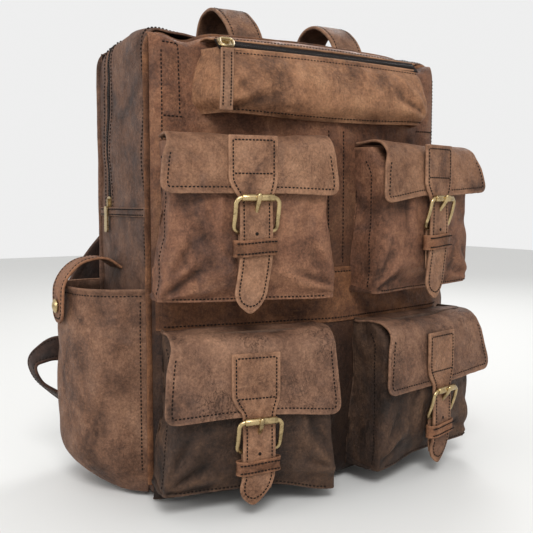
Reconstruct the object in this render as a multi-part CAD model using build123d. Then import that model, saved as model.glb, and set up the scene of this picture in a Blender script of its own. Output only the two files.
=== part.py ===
from build123d import *
import os
from math import cos, hypot, radians, tan

# Leather cargo backpack: a zipped main compartment, a zipped top pocket, four flap pockets with
# roller buckles, two open side pockets with snap tabs, two top handles and two shoulder straps.
# Millimetres, +Z up, +X to the right of somebody facing the front, front towards -Y.
# The model is built with Y = 0 on the front seam, and ORIGIN_Y moves it so that the origin is
# under the middle of the whole object.
ORIGIN_Y = 33.94

# Main body
HALF_W = 160.0          # front seam to the middle plane
BACK_Y = 120.0          # outside of the back panel
TOP_FRONT_Z = 394.0     # top edge at the front
TOP_MID_Z = 408.0       # crown of the top
TOP_BACK_Z = 398.0
LEATHER = 2.2
LINING = 1.0
FACET_TURN = 12.0       # each half of the front faces this many degrees outwards
COL_X = 89.0            # middle of a pocket column on its facet
COL_Y = -28.3
SEAM_Y = 4.0            # front seam
BACK_SEAM_Y = 110.0     # back seam
ZIP_Y = 88.0            # main zip line
ZIP_HALF = 4.0          # half the width of the open zip line
SIDE_SEAM_Z = 246.0     # seam across each side, where the main zip ends

# Flap pockets: flap face distance from the facet, crease, flap edge, pocket floor, roller, heel
# bar, keeper, strap tip, all as heights above the ground except the first
ROWS = {
    "upper": dict(out=43.5, crease=308.0, edge=262.0, floor=175.0, roller=258.0, heel=231.0,
                  keeper=212.0, keeper_h=13.0, snap=201.0, tip=163.0, patch=306.0),
    "lower": dict(out=50.0, crease=154.0, edge=86.0, floor=20.0, roller=81.0, heel=55.0,
                  keeper=37.5, keeper_h=11.0, snap=29.5, tip=8.0, patch=135.0),
}
COLUMNS = {"left": -1, "right": 1}
FLAP_TOP_HALF = 69.0
FLAP_EDGE_HALF = 75.0
FLAP_CORNER = 9.0
SEAM_GAP = 1.6          # flap hinge line to the facet
POCKET_TOP_HALF = 69.0
POCKET_FLOOR_HALF = 75.0
POCKET_BEHIND = 7.0     # pocket front behind the flap face
POCKET_WALL = 1.8

# Closure strap and its buckle
STRAP_W = 27.5
STRAP_T = 2.6
STRAP_OUT = 1.8         # middle of the strap in front of the flap face, below the flap
PATCH_LEFT = 22.0
PATCH_RIGHT = 15.0
TIP_SHIFT = 5.0         # the tip hangs this far to one side
WIRE_R = 1.7            # buckle wire
FRAME_W = 39.0
FRAME_CORNER = 3.8
ROLLER_R = 3.0
ROLLER_LEN = 27.0
ROLLER_OUT = 6.35
HEEL_OUT = -2.2
FIT = 0.05              # radial running clearance
PRONG_R = 1.2
PRONG_EYE_R = 2.55
PRONG_EYE_W = 3.0
SLOT_W = 3.2
SLOT_LOW = 6.0          # slot for the prong, above the heel bar
SLOT_HIGH = 17.2
HOLE_R = 1.2
TAB_W = 26.0
TAB_T = 1.8
TAB_EYE_R = 2.6
TAB_BACK = 4.8          # back of the buckle tab behind the flap face
TAB_BELOW_SNAP = 8.0
KEEPER_HALF = 18.5
KEEPER_T = 1.1
KEEPER_FRONT = 5.1
KEEPER_WALL = 1.8
KEEPER_FRONT_WALL = 1.6
SNAP_R = 5.5
SNAP_T = 1.0

# Top pocket
TOP_X = -7.5            # middle of the pocket
TOP_HALF = 119.5
TOP_WALL = 1.8
TOP_LOW_Z = 326.0       # bottom of the pocket
TOP_BELLY = (-60, 337)  # where it stands out most
TOP_SHOULDER = (-43.5, 375.5)
TOP_RIM = (-30.5, 388.5)
TOP_TAPER = 6.0         # narrower by this much at each end of the top
TOP_ZIP_HALF = 104.5
TOP_ZIP_Y = -37.0
TOP_ZIP_Z = 382.0
TOP_ZIP_W = 9.0
TAPE_T = 1.2

# Sliders and pulls
SLIDER_L = 12.0
SLIDER_W = 8.0
SLIDER_T = 3.4
SLIDER_GAP = 0.3
TOP_SLIDER_X = -108.0
MAIN_SLIDER_Z = 254.0
PULL_W = 12.5
PULL_T = 2.2
PULL_LINE = [(-40.96, 385.96), (-48.8, 376.8), (-68.4, 322)]    # bail top, tab top, tab end
RING_R = 6.0            # half the width of the bail
RING_WIRE = 1.0
SMALL_PULL_W = 7.0
SMALL_PULL_L = 24.0
SMALL_PULL_T = 1.6
PULL_DROP = 3.0         # top of the small pull below the middle of its slider

# Side pockets and their snap tabs
SIDE_TOP_Z = 181.0
SIDE_PLAN = [(-145, 7), (-160, 7), (-186, 16), (-206, 36), (-213, 66), (-211, 96), (-198, 117), (-145, 119)]
SIDE_FRONT = [(-140, 4), (-182, 4), (-203, 18), (-213, 50), (-212.5, 130), (-209, 200), (-140, 200)]
SIDE_WALL = 2.0
TAB_Y = 70.0
SIDE_TAB_W = 26.0
SIDE_TAB_T = 2.4
SIDE_TAB_PATH = [(-162.2, 197), (-176, 206.5), (-200, 203), (-215.5, 184), (-216, 149)]
SIDE_SNAP_Z = 164.0
CAP_R = 6.0
CAP_T = 3.0
STUD_R = 4.0
STUD_L = 3.0

# Handles
HANDLE_X = 57.0
HANDLE_W = 34.0
HANDLE_T = 3.0
HANDLE_ARC = [(14, 398), (46, 434.5), (86, 400)]

# Shoulder straps, each a ribbon seen from behind and from the side
STRAP_PATH = [(-40, 384), (-52, 330), (-92, 250), (-149, 188), (-172, 152), (-168, 127)]
STRAP_SIDE = [(122.7, 384), (140, 362), (158, 300), (158, 190), (150, 127)]
SHOULDER_W = 44.0
SHOULDER_T = 5.0
LOWER_PATH = [(-163, 103), (-200, 116), (-226, 104), (-222, 88), (-140, 20)]
LOWER_Y = 134.2         # middle of the lower strap, which lies edge-on to the back
LOWER_W = 27.0
LOWER_T = 3.0
ADJUSTER_W = 46.0
ADJUSTER_H = 18.0
ADJUSTER_Z = 115.0
ADJUSTER_Y = 150.0
ADJUSTER_X = -163.0
ADJUSTER_WIRE = 2.0

FAR = 500.0             # larger than the object, for cutting


def flat(points):
    return Polygon(*points, align=None)


def along_x(sketch, half):
    return extrude(Plane.YZ * sketch, amount=half, both=True)


def along_y(sketch, half=FAR):
    return extrude(Plane.XZ * sketch, amount=half, both=True)


def along_z(sketch, low, high):
    return Pos(0, 0, low) * extrude(sketch, amount=high - low, dir=(0, 0, 1))


def block(x, y, z):
    size = [high - low for low, high in (x, y, z)]
    middle = [(high + low) / 2 for low, high in (x, y, z)]
    return Pos(*middle) * Box(*size)


def rounded(sketch, radii):
    """Round the corner nearest to each given point."""
    for (u, v), radius in radii:
        corner = min(sketch.vertices(), key=lambda p: hypot(p.X - u, p.Y - v))
        sketch = fillet(corner, radius)
    return sketch


def band(points, thickness, radius):
    """A flat strip of even thickness along rounded corners."""
    return trace(FilletPolyline(*points, radius=radius), thickness)


def mirrored(shape):
    return mirror(shape, about=Plane.YZ)


def body(inset):
    """The main body, moved in from its outside by inset."""
    slope = tan(radians(FACET_TURN))
    facet_in = inset / cos(radians(FACET_TURN))
    wide, back, low = HALF_W - inset, BACK_Y - inset, inset
    edge_y = COL_Y + (wide - COL_X) * slope + facet_in
    ridge_y = COL_Y - COL_X * slope + facet_in
    plan = flat([(-wide, edge_y), (0, ridge_y), (wide, edge_y), (wide, back), (-wide, back)])
    plan = rounded(plan, [((0, ridge_y), 60), ((-wide, edge_y), 9), ((wide, edge_y), 9),
                          ((-wide, back), 14), ((wide, back), 14)])
    front, top = -22 + inset, TOP_FRONT_Z - inset
    side = flat([(-60 + inset, low), (-60 + inset, 300), (front, top), (60, TOP_MID_Z - inset),
                 (back, TOP_BACK_Z - inset), (back, low)])
    side = rounded(side, [((front, top), 12), ((60, TOP_MID_Z - inset), 120),
                          ((back, TOP_BACK_Z - inset), 14), ((back, low), 12)])
    shoulder, crown = 392 - inset, 412 - inset
    face = flat([(-wide, low), (wide, low), (wide, shoulder), (130, crown), (-130, crown), (-wide, shoulder)])
    face = rounded(face, [((-wide, low), 14), ((wide, low), 14), ((wide, shoulder), 16),
                          ((-wide, shoulder), 16), ((130, crown), 60), ((-130, crown), 60)])
    return along_z(plan, -10, 450) & along_x(side, FAR) & along_y(face)


def body_parts():
    outer = body(0)
    inner = body(LEATHER)
    shell = outer - inner
    low, high = -100, 450
    parts = {
        "front_panel": shell & block((-FAR, FAR), (-FAR, SEAM_Y), (low, high)),
        "gusset_base": shell & block((-FAR, FAR), (SEAM_Y, BACK_SEAM_Y), (low, SIDE_SEAM_Z)),
        "gusset_front": shell & block((-FAR, FAR), (SEAM_Y, ZIP_Y - ZIP_HALF), (SIDE_SEAM_Z, high)),
        "gusset_rear": shell & block((-FAR, FAR), (ZIP_Y + ZIP_HALF, BACK_SEAM_Y), (SIDE_SEAM_Z, high)),
        "back_panel": shell & block((-FAR, FAR), (BACK_SEAM_Y, FAR), (low, high)),
    }
    zip_gap = block((-FAR, FAR), (ZIP_Y - ZIP_HALF, ZIP_Y + ZIP_HALF), (SIDE_SEAM_Z, high))
    parts["zip_tape_main"] = (body(0.6) - body(0.6 + TAPE_T)) & zip_gap
    parts["lining"] = inner - body(LEATHER + LINING) - zip_gap
    return outer, parts


def column_place(side):
    return Pos(side * COL_X, COL_Y, 0) * Rot(0, 0, side * FACET_TURN)


def pocket(row):
    """One flap pocket, open at the top and against the front panel."""
    top = row["crease"] - LEATHER - 0.8
    front = row["out"] - POCKET_BEHIND

    def filled(inset):
        floor, near = row["floor"] + inset, inset - front
        side = flat([(5, floor), (5, top + 5), (near, top + 5), (near, floor)])
        side = rounded(side, [((near, floor), 10)])
        low, high = POCKET_FLOOR_HALF - inset, POCKET_TOP_HALF - inset
        face = flat([(-low, floor), (low, floor), (high, top + 10), (-high, top + 10)])
        face = rounded(face, [((-low, floor), 12), ((low, floor), 12)])
        return along_x(side, FAR) & along_y(face)

    return (filled(0) - filled(POCKET_WALL)) & block((-FAR, FAR), (-FAR, 0), (0, top))


def flap_top(row):
    """The strip from the seam on the front panel to the crease, with round long edges."""
    z = row["crease"] - LEATHER / 2
    end = row["out"] - LEATHER - 0.4
    strip = block((-FLAP_TOP_HALF, FLAP_TOP_HALF), (-end, -SEAM_GAP), (z - LEATHER / 2, z + LEATHER / 2))
    edge = Pos(0, -SEAM_GAP, z) * Rot(0, 90, 0) * Cylinder(LEATHER / 2, 2 * FLAP_TOP_HALF)
    return strip + edge


def flap(row):
    """The hanging part of a flap, round along its crease."""
    z = row["crease"] - LEATHER / 2
    y = -(row["out"] - LEATHER / 2)
    face = flat([(-FLAP_EDGE_HALF, row["edge"]), (FLAP_EDGE_HALF, row["edge"]),
                 (FLAP_TOP_HALF, z), (-FLAP_TOP_HALF, z)])
    face = rounded(face, [((-FLAP_EDGE_HALF, row["edge"]), FLAP_CORNER),
                          ((FLAP_EDGE_HALF, row["edge"]), FLAP_CORNER)])
    sheet = Pos(0, y, 0) * along_y(face, LEATHER / 2)
    crease = Pos(0, y, z) * Rot(0, 90, 0) * Cylinder(LEATHER / 2, 2 * FLAP_TOP_HALF)
    return sheet + crease


def strap(row):
    """The closure strap: a patch sewn on the flap, then a strap that ends in a point."""
    out, half = row["out"], STRAP_W / 2
    path = [(-out - STRAP_T / 2, row["patch"]), (-out - STRAP_T / 2, row["edge"] + 2),
            (-out - STRAP_OUT, row["edge"] - 5), (-out - STRAP_OUT, row["keeper"] - 4),
            (-out - 0.6, row["tip"])]
    layer = along_x(band(path, STRAP_T, 6), FAR)
    neck = row["patch"] - 30
    low, tip = row["keeper"], row["tip"]
    outline = flat([(-PATCH_LEFT, row["patch"]), (PATCH_RIGHT, row["patch"]), (half, neck), (half, low),
                    (half - TIP_SHIFT, tip + 16), (-TIP_SHIFT, tip), (-half - TIP_SHIFT, tip + 16),
                    (-half, low), (-half, neck)])
    outline = rounded(outline, [((-TIP_SHIFT, tip), 6), ((half - TIP_SHIFT, tip + 16), 9),
                                ((-half - TIP_SHIFT, tip + 16), 9)])
    heel = row["heel"]
    slot_mid = heel + (SLOT_LOW + SLOT_HIGH) / 2
    slot = Pos(0, -out, slot_mid) * Box(SLOT_W, 20, SLOT_HIGH - SLOT_LOW)
    hole = Pos(0, -out, heel) * Rot(90, 0, 0) * Cylinder(HOLE_R, 20)
    return (layer & along_y(outline)) - slot - hole


def buckle_plane(row):
    """The plane of a buckle frame, with its origin on the heel bar and its Y up to the roller."""
    run = (0, HEEL_OUT - ROLLER_OUT, row["roller"] - row["heel"])
    normal = Vector(1, 0, 0).cross(Vector(*run))
    return Plane(origin=(0, -row["out"] - HEEL_OUT, row["heel"]), x_dir=(1, 0, 0), z_dir=normal)


def buckle(row):
    height = hypot(ROLLER_OUT - HEEL_OUT, row["roller"] - row["heel"])
    plane = buckle_plane(row)
    ring = RectangleRounded(FRAME_W - 2 * WIRE_R, height, FRAME_CORNER)
    path = plane * Pos(0, height / 2) * ring.wire()
    section = Plane(origin=path @ 0, z_dir=path % 0) * Circle(WIRE_R)
    return sweep(section, path=path)


def roller(row):
    tube = Cylinder(ROLLER_R, ROLLER_LEN) - Cylinder(WIRE_R + FIT, ROLLER_LEN + 2)
    return Pos(0, -row["out"] - ROLLER_OUT, row["roller"]) * Rot(0, 90, 0) * tube


def prong(row):
    """The prong: an eye round the heel bar and a pin through the strap that rests on the roller."""
    out, heel = row["out"], row["heel"]
    eye = Cylinder(PRONG_EYE_R, PRONG_EYE_W) - Cylinder(WIRE_R + FIT, PRONG_EYE_W + 2)
    eye = Pos(0, -out - HEEL_OUT, heel) * Rot(0, 90, 0) * eye
    lift = row["roller"] - heel - 27
    points = [(HEEL_OUT, 2.0), (HEEL_OUT + 0.6, 8.5 + lift), (10.6, 23.5 + lift), (11.0, 30.5 + lift)]
    path = FilletPolyline(*[(0, -out - s, heel + z) for s, z in points], radius=3)
    pin = sweep(Plane(origin=path @ 0, z_dir=path % 0) * Circle(PRONG_R), path=path)
    tip = Pos(path @ 1) * Sphere(PRONG_R)
    bar = Pos(0, -out - HEEL_OUT, heel) * Rot(0, 90, 0) * Cylinder(WIRE_R + FIT, PRONG_EYE_W + 2)
    return eye + (pin - bar) + tip


def keeper(row):
    """The buckle tab behind the strap, the keeper loop round both, and half of the hidden snap."""
    out, heel, half = row["out"], row["heel"], TAB_W / 2
    back = -(out - TAB_BACK)
    low = row["snap"] - TAB_BELOW_SNAP
    strip = block((-half, half), (back - TAB_T, back), (low, heel))
    eye = Pos(0, -out - HEEL_OUT, heel) * Rot(0, 90, 0) * Cylinder(TAB_EYE_R, TAB_W)
    bar = Pos(0, -out - HEEL_OUT, heel) * Rot(0, 90, 0) * Cylinder(WIRE_R + FIT, TAB_W + 2)
    prong_gap = Pos(0, -out, heel) * Box(PRONG_EYE_W + 0.8, 20, 2 * PRONG_EYE_R + 2)
    tab = strip + eye - bar - prong_gap
    deep = (-(out + KEEPER_FRONT), back + KEEPER_T)
    wide = KEEPER_HALF
    loop = block((-wide, wide), deep, (row["keeper"], row["keeper"] + row["keeper_h"]))
    loop = fillet(loop.edges().filter_by(Axis.Z), 2.5)
    inside = wide - KEEPER_WALL
    hole = block((-inside, inside), (deep[0] + KEEPER_FRONT_WALL, back), (0, FAR))
    stud = Pos(0, back + SNAP_T / 2, row["snap"]) * Rot(90, 0, 0) * Cylinder(SNAP_R, SNAP_T)
    return Compound([tab, loop - hole, stud])


def snap_socket(row):
    y = -(row["out"] - POCKET_BEHIND) - SNAP_T / 2
    return Pos(0, y, row["snap"]) * Rot(90, 0, 0) * Cylinder(SNAP_R, SNAP_T)


def top_pocket(outer):
    """The zipped pocket across the top of the front, open against the front panel."""
    def filled(inset):
        low, wide = TOP_LOW_Z + inset, TOP_HALF - inset
        belly, shoulder, rim = [(y + inset, z) for y, z in (TOP_BELLY, TOP_SHOULDER, TOP_RIM)]
        shoulder, rim = (shoulder[0], shoulder[1] - inset), (rim[0], rim[1] - inset)
        profile = [(20, low), (-50 + inset, low), belly, shoulder, rim, (20, rim[1])]
        side = rounded(flat(profile), [(profile[1], 5), (belly, 12)])
        face = flat([(-wide, low), (wide, low), (wide - TOP_TAPER, 395), (TOP_TAPER - wide, 395)])
        face = rounded(face, [((-wide, low), 8), ((wide, low), 8)])
        end, near = wide + 4, TOP_BELLY[0] - 4 + inset
        plan = flat([(-end, near), (end, near), (end, 30), (-end, 30)])
        plan = rounded(plan, [((-end, near), 16), ((end, near), 16)])
        return along_x(side, FAR) & along_y(face) & along_z(plan, 300, 400)

    mouth = top_zip_plane() * Box(2 * TOP_ZIP_HALF, TOP_ZIP_W, 8)
    return Pos(TOP_X, 0, 0) * (filled(0) - filled(TOP_WALL)) - mouth - outer


def top_zip_plane():
    return Plane(origin=(TOP_X, TOP_ZIP_Y, TOP_ZIP_Z), x_dir=(1, 0, 0), z_dir=(0, -1, 1))


def slider():
    """A zip slider lying on its zip, facing +Z, running along X."""
    base = Pos(0, 0, SLIDER_T / 4) * Box(SLIDER_L, SLIDER_W, SLIDER_T / 2)
    base = fillet(base.edges().filter_by(Axis.Z), 2.4)
    bridge = Pos(0, 0, SLIDER_T * 0.75) * Box(SLIDER_L - 4, 2.2, SLIDER_T / 2)
    return base + bridge


def top_pull():
    """The bail on the top slider and its leather tab, hanging down the pocket."""
    start, knee, end = [Vector(TOP_SLIDER_X, y, z) for y, z in PULL_LINE]

    def hanging(top, low):
        return Plane(origin=top, x_dir=(1, 0, 0), z_dir=Vector(1, 0, 0).cross(low - top))

    loop = (knee - start).length
    plane = hanging(start, knee)
    path = plane * Pos(0, loop / 2) * RectangleRounded(2 * RING_R, loop, RING_R - 0.5).wire()
    bail = sweep(Plane(origin=path @ 0, z_dir=path % 0) * Circle(RING_WIRE), path=path)
    length = (end - knee).length - RING_WIRE - 0.2
    tab = hanging(knee, end) * Pos(0, RING_WIRE + 0.2 + length / 2, 0) * Box(PULL_W, length, PULL_T)
    return Compound([bail, tab])


def side_pocket():
    """The left side pocket, open at the top and against the body."""
    def filled(inset):
        plan, front = flat(SIDE_PLAN), flat(SIDE_FRONT)
        plan = rounded(plan, [(p, 16) for p in SIDE_PLAN[2:7]])
        front = rounded(front, [(p, 14) for p in SIDE_FRONT[1:5]])
        if inset:
            plan, front = offset(plan, -inset), offset(front, -inset)
        return along_z(plan, -10, 250) & along_y(front)

    keep = block((-FAR, -HALF_W), (-FAR, FAR), (0, SIDE_TOP_Z))
    return (filled(0) & keep) - filled(SIDE_WALL)


def side_tab():
    tab = Plane.XZ * band(SIDE_TAB_PATH, SIDE_TAB_T, 8)
    tab = Pos(0, TAB_Y, 0) * extrude(tab, amount=SIDE_TAB_W / 2, both=True)
    return tab


def side_cap():
    x = SIDE_TAB_PATH[-1][0] - SIDE_TAB_T / 2 - CAP_T / 2 - 0.05
    dome = Cylinder(CAP_R, CAP_T)
    dome = fillet(dome.edges().sort_by(Axis.Z)[-1], 2.4)
    return Pos(x, TAB_Y, SIDE_SNAP_Z) * Rot(0, -90, 0) * dome


def side_stud(pocket_solid):
    """The stud on the pocket under the snap cap, trimmed to the pocket's wall."""
    inner = SIDE_TAB_PATH[-1][0] + SIDE_TAB_T / 2 + 0.3
    bar = Rot(0, 90, 0) * Cylinder(STUD_R, STUD_L)
    bar = Pos(inner + STUD_L / 2, TAB_Y, SIDE_SNAP_Z) * bar
    inside = Pos(30, 0, 0) * Box(60, 200, 400)
    return bar - pocket_solid - Pos(-212.5, TAB_Y, SIDE_SNAP_Z) * inside


def handle(outer):
    a, b, c = HANDLE_ARC
    arc = trace(ThreePointArc(a, b, c), HANDLE_T)
    return Pos(HANDLE_X, 0, 0) * along_x(arc, HANDLE_W / 2) - outer


def strap_ribbon(path, side, width, thickness, bend):
    seen_back = along_y(band(path, width, bend))
    seen_side = along_x(band(side, thickness, bend), FAR)
    return seen_back & seen_side


def lower_strap():
    """The narrow strap that loops out from the brass slide to the bottom corner of the back."""
    return Pos(0, LOWER_Y, 0) * along_y(band(LOWER_PATH, LOWER_T, 12), LOWER_W / 2)


def adjuster():
    """The brass slide where the shoulder strap meets the lower strap."""
    plane = Plane(origin=(ADJUSTER_X, ADJUSTER_Y, ADJUSTER_Z), x_dir=(1, 0, 0), z_dir=(0, -1, 0))
    ring = RectangleRounded(ADJUSTER_W, ADJUSTER_H, 4)
    path = plane * ring.wire()
    return sweep(Plane(origin=path @ 0, z_dir=path % 0) * Circle(ADJUSTER_WIRE), path=path)


def main():
    outer, nodes = body_parts()
    nodes["top_pocket"] = top_pocket(outer)
    tape = top_zip_plane() * Box(2 * TOP_ZIP_HALF, TOP_ZIP_W, TAPE_T)
    nodes["zip_tape_top"] = tape
    on_tape = TAPE_T / 2 + SLIDER_GAP
    top_slider = top_zip_plane() * Pos(0, 0, on_tape) * slider()
    nodes["zip_slider_top"] = Pos(TOP_SLIDER_X - TOP_X, 0, 0) * top_slider
    nodes["zip_pull_top"] = top_pull()

    side_face = Plane(origin=(-HALF_W - SLIDER_GAP, ZIP_Y, MAIN_SLIDER_Z), x_dir=(0, 0, 1), z_dir=(-1, 0, 0))
    nodes["zip_slider_main"] = side_face * slider()
    lift = SLIDER_T + SLIDER_GAP + SMALL_PULL_T / 2
    small_pull = Box(SMALL_PULL_L, SMALL_PULL_W, SMALL_PULL_T)
    hang = side_face * Pos(-PULL_DROP - SMALL_PULL_L / 2, 0, lift) * small_pull
    nodes["zip_pull_main"] = fillet(hang.edges().filter_by(Axis.X), 2.5)

    left_pocket = side_pocket()
    sockets = [side_stud(left_pocket), mirrored(side_stud(left_pocket))]
    for side_name, flip in (("left", False), ("right", True)):
        pieces = {
            "side_pocket": left_pocket,
            "side_tab": side_tab(),
            "side_snap_cap": side_cap(),
            "handle": mirrored(handle(outer)),
            "shoulder_strap": strap_ribbon(STRAP_PATH, STRAP_SIDE, SHOULDER_W, SHOULDER_T, 45),
            "lower_strap": lower_strap(),
            "strap_adjuster": adjuster(),
        }
        for name, shape in pieces.items():
            nodes[f"{name}_{side_name}"] = mirrored(shape) if flip else shape

    makers = {"pocket": pocket, "flap_top": flap_top, "flap": flap, "strap": strap, "buckle": buckle,
              "roller": roller, "prong": prong, "keeper": keeper}
    for row_name, row in ROWS.items():
        for col_name, side in COLUMNS.items():
            place = column_place(side)
            for name, make in makers.items():
                nodes[f"{name}_{row_name}_{col_name}"] = place * make(row)
            sockets.append(place * snap_socket(row))
    nodes["snap_sockets"] = Compound(sockets)

    os.makedirs("parts", exist_ok=True)
    for name, shape in nodes.items():
        export_step(Pos(0, -ORIGIN_Y, 0) * shape, f"parts/{name}.step")


main()
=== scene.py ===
import itertools
import math

import bpy
import numpy as np
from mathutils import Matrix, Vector

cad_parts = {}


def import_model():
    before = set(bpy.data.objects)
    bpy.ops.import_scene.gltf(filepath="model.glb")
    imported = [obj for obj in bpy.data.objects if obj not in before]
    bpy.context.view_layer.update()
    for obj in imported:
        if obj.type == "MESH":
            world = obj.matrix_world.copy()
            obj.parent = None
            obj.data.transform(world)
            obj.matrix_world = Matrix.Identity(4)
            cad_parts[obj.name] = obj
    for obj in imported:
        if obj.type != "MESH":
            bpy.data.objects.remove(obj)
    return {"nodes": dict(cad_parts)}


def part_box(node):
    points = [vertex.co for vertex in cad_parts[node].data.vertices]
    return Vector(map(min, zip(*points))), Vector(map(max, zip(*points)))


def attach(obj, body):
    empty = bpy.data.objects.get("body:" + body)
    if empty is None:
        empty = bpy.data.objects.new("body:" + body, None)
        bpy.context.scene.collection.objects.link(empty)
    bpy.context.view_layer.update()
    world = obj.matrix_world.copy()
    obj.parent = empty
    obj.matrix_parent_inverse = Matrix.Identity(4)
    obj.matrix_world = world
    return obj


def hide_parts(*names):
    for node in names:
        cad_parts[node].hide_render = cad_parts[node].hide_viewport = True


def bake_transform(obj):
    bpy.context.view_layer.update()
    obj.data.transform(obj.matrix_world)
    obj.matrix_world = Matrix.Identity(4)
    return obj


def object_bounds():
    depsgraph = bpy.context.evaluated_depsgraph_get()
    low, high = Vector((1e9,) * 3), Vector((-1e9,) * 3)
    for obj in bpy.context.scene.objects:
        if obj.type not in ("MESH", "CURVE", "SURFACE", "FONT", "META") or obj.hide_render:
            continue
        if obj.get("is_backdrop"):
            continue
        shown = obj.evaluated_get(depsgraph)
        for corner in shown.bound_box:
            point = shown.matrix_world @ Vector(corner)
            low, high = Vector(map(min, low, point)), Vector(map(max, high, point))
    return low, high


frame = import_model()
cad_low, cad_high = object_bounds()

# Every size is in millimetres, in the model's own layout: X = 0 is the middle plane, Y = 0 the front
# seam, Z = 0 the ground. MM and SEAM_SHIFT take a point to the frame's metres.
MM = 0.001
FRONT_SEAM_Y = 4.0
SEAM_SHIFT = FRONT_SEAM_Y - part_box("gusset_front")[0].y / MM
HALF_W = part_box("gusset_front")[1].x / MM
BACK_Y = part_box("back_panel")[1].y / MM + SEAM_SHIFT
FACET = math.radians(12)
COLUMN_X = 89.0
COLUMN_Y = -28.3
RIDGE_Y = COLUMN_Y - COLUMN_X * math.tan(FACET)
SIDE_SEAM_Z = 246.0
ZIP_Y = 88.0
THREAD = 0.6
PITCH = 3.3

ROWS = {
    "upper": dict(out=43.5, crease=308.0, edge=262.0, floor=176.0, roller=258.0, heel=231.0, keeper=212.0,
                  keeper_h=13.0, snap=201.0, tip=165.5, patch=306.5, cross=277.0),
    "lower": dict(out=50.0, crease=154.0, edge=86.0, floor=21.0, roller=81.0, heel=55.0, keeper=37.5,
                  keeper_h=11.0, snap=29.5, tip=11.0, patch=135.0, cross=99.0),
}
COLUMNS = {"left": -1, "right": 1}
# How far each flap's sewn edge and its left, middle and right free edge hang below the pattern
FLAP_DROPS = {"upper_left": (0.0, 1.0, 0.5, 2.0), "upper_right": (0.5, 8.0, 1.0, -2.0),
              "lower_left": (6.0, 3.0, 2.5, 8.0), "lower_right": (7.0, 1.5, 0.5, -3.5)}
# The same for the floor of each pocket at its left and right ends
FLOOR_DROPS = {"upper_left": (0.0, 2.0), "upper_right": (2.0, 0.0), "lower_left": (1.0, 11.0),
               "lower_right": (6.0, 1.0)}
# Which part of the hide each pocket and flap is cut from
HIDE_SHIFT = {"upper_left": (0, 0, 0), "upper_right": (70, 0, 30), "lower_left": (0, 0, 0),
              "lower_right": (95, 0, 45)}
# How far each pocket's two lower corners stand out or draw in
EARS = {"upper_left": (7.5, 7.5), "upper_right": (6.0, 1.0), "lower_left": (7.5, 6.5),
        "lower_right": (8.5, -5.0)}


# ---------------------------------------------------------------- numbers

def smooth(x, low, high):
    t = np.clip((np.asarray(x, float) - low) / (high - low), 0, 1)
    return t * t * (3 - 2 * t)


def bell(x, width):
    return np.exp(-(np.asarray(x, float) / width) ** 2)


def hash_cells(cell, seed):
    h = (cell[..., 0] * 73856093) ^ (cell[..., 1] * 19349663) ^ (cell[..., 2] * 83492791) ^ (seed * 2654435761)
    h = (h ^ (h >> 13)) * 1274126177 & 0xFFFFFFFF
    h = (h ^ (h >> 16)) * 668265263 & 0xFFFFFFFF
    return (h & 0xFFFF) / 32767.5 - 1


def noise3(points, size, seed=1):
    """Smooth noise from -1 to 1, with features about size across."""
    q = np.asarray(points, float) / size + seed * 7.37
    cell = np.floor(q).astype(np.int64)
    f = q - cell
    f = f * f * (3 - 2 * f)
    total = 0
    for corner in itertools.product((0, 1), repeat=3):
        weight = np.prod(np.where(corner, f, 1 - f), axis=-1)
        total = total + weight * hash_cells(cell + np.array(corner), seed)
    return total


def layered(points, size, seed=1, steps=3):
    return sum(noise3(points, size / 2 ** k, seed + k) / 2 ** k for k in range(steps))


def stack(*parts):
    return np.stack(np.broadcast_arrays(*parts), axis=-1).astype(float)


def same_size(a, b):
    return np.broadcast_arrays(np.asarray(a, float), np.asarray(b, float))


def unit(v):
    return v / np.maximum(np.linalg.norm(v, axis=-1, keepdims=True), 1e-9)


def spaced(length, step, fine=True):
    """Positions along a length, closer together near both ends so that edges and seams are crisp."""
    ends = [0, 0.7, 1.6, 2.6, 3.4, 4.2, 5.2, 6.6] if fine else [0]
    ends = [e for e in ends if e < length / 2 - step / 2] or [0]
    inside = max(2, int(round((length - 2 * ends[-1]) / step)) + 1)
    middle = np.linspace(ends[-1], length - ends[-1], inside)
    return np.array(ends[:-1] + list(middle) + [length - e for e in reversed(ends[:-1])])


class Route:
    """A smooth line through a few corner points, read by distance along it."""

    def __init__(self, corners, radius):
        pts = [np.array(c, float) for c in corners]
        line = [pts[0]]
        for k in range(1, len(pts) - 1):
            a, b, c = pts[k - 1], pts[k], pts[k + 1]
            cut = min(radius, 0.48 * np.linalg.norm(b - a), 0.48 * np.linalg.norm(c - b))
            p, q = b + unit(a - b) * cut, b + unit(c - b) * cut
            for t in np.linspace(0, 1, 9):
                line.append((1 - t) ** 2 * p + 2 * t * (1 - t) * b + t * t * q)
        line.append(pts[-1])
        line = np.array(line)
        along = np.concatenate([[0], np.cumsum(np.linalg.norm(np.diff(line, axis=0), axis=1))])
        keep = np.concatenate([[True], np.diff(along) > 1e-6])
        self.line, self.along = line[keep], along[keep]
        self.length = self.along[-1]

    def at(self, d):
        return np.stack([np.interp(d, self.along, self.line[:, k]) for k in range(self.line.shape[1])], axis=-1)

    def direction(self, d, half=0.8):
        d = np.asarray(d, float)
        low, high = np.clip(d - half, 0, self.length), np.clip(d + half, 0, self.length)
        return unit(self.at(high) - self.at(low))


# ---------------------------------------------------------------- meshes

PIECES = {}


def world(points):
    return (np.asarray(points, float) - np.array([0, SEAM_SHIFT, 0])) * MM


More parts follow.
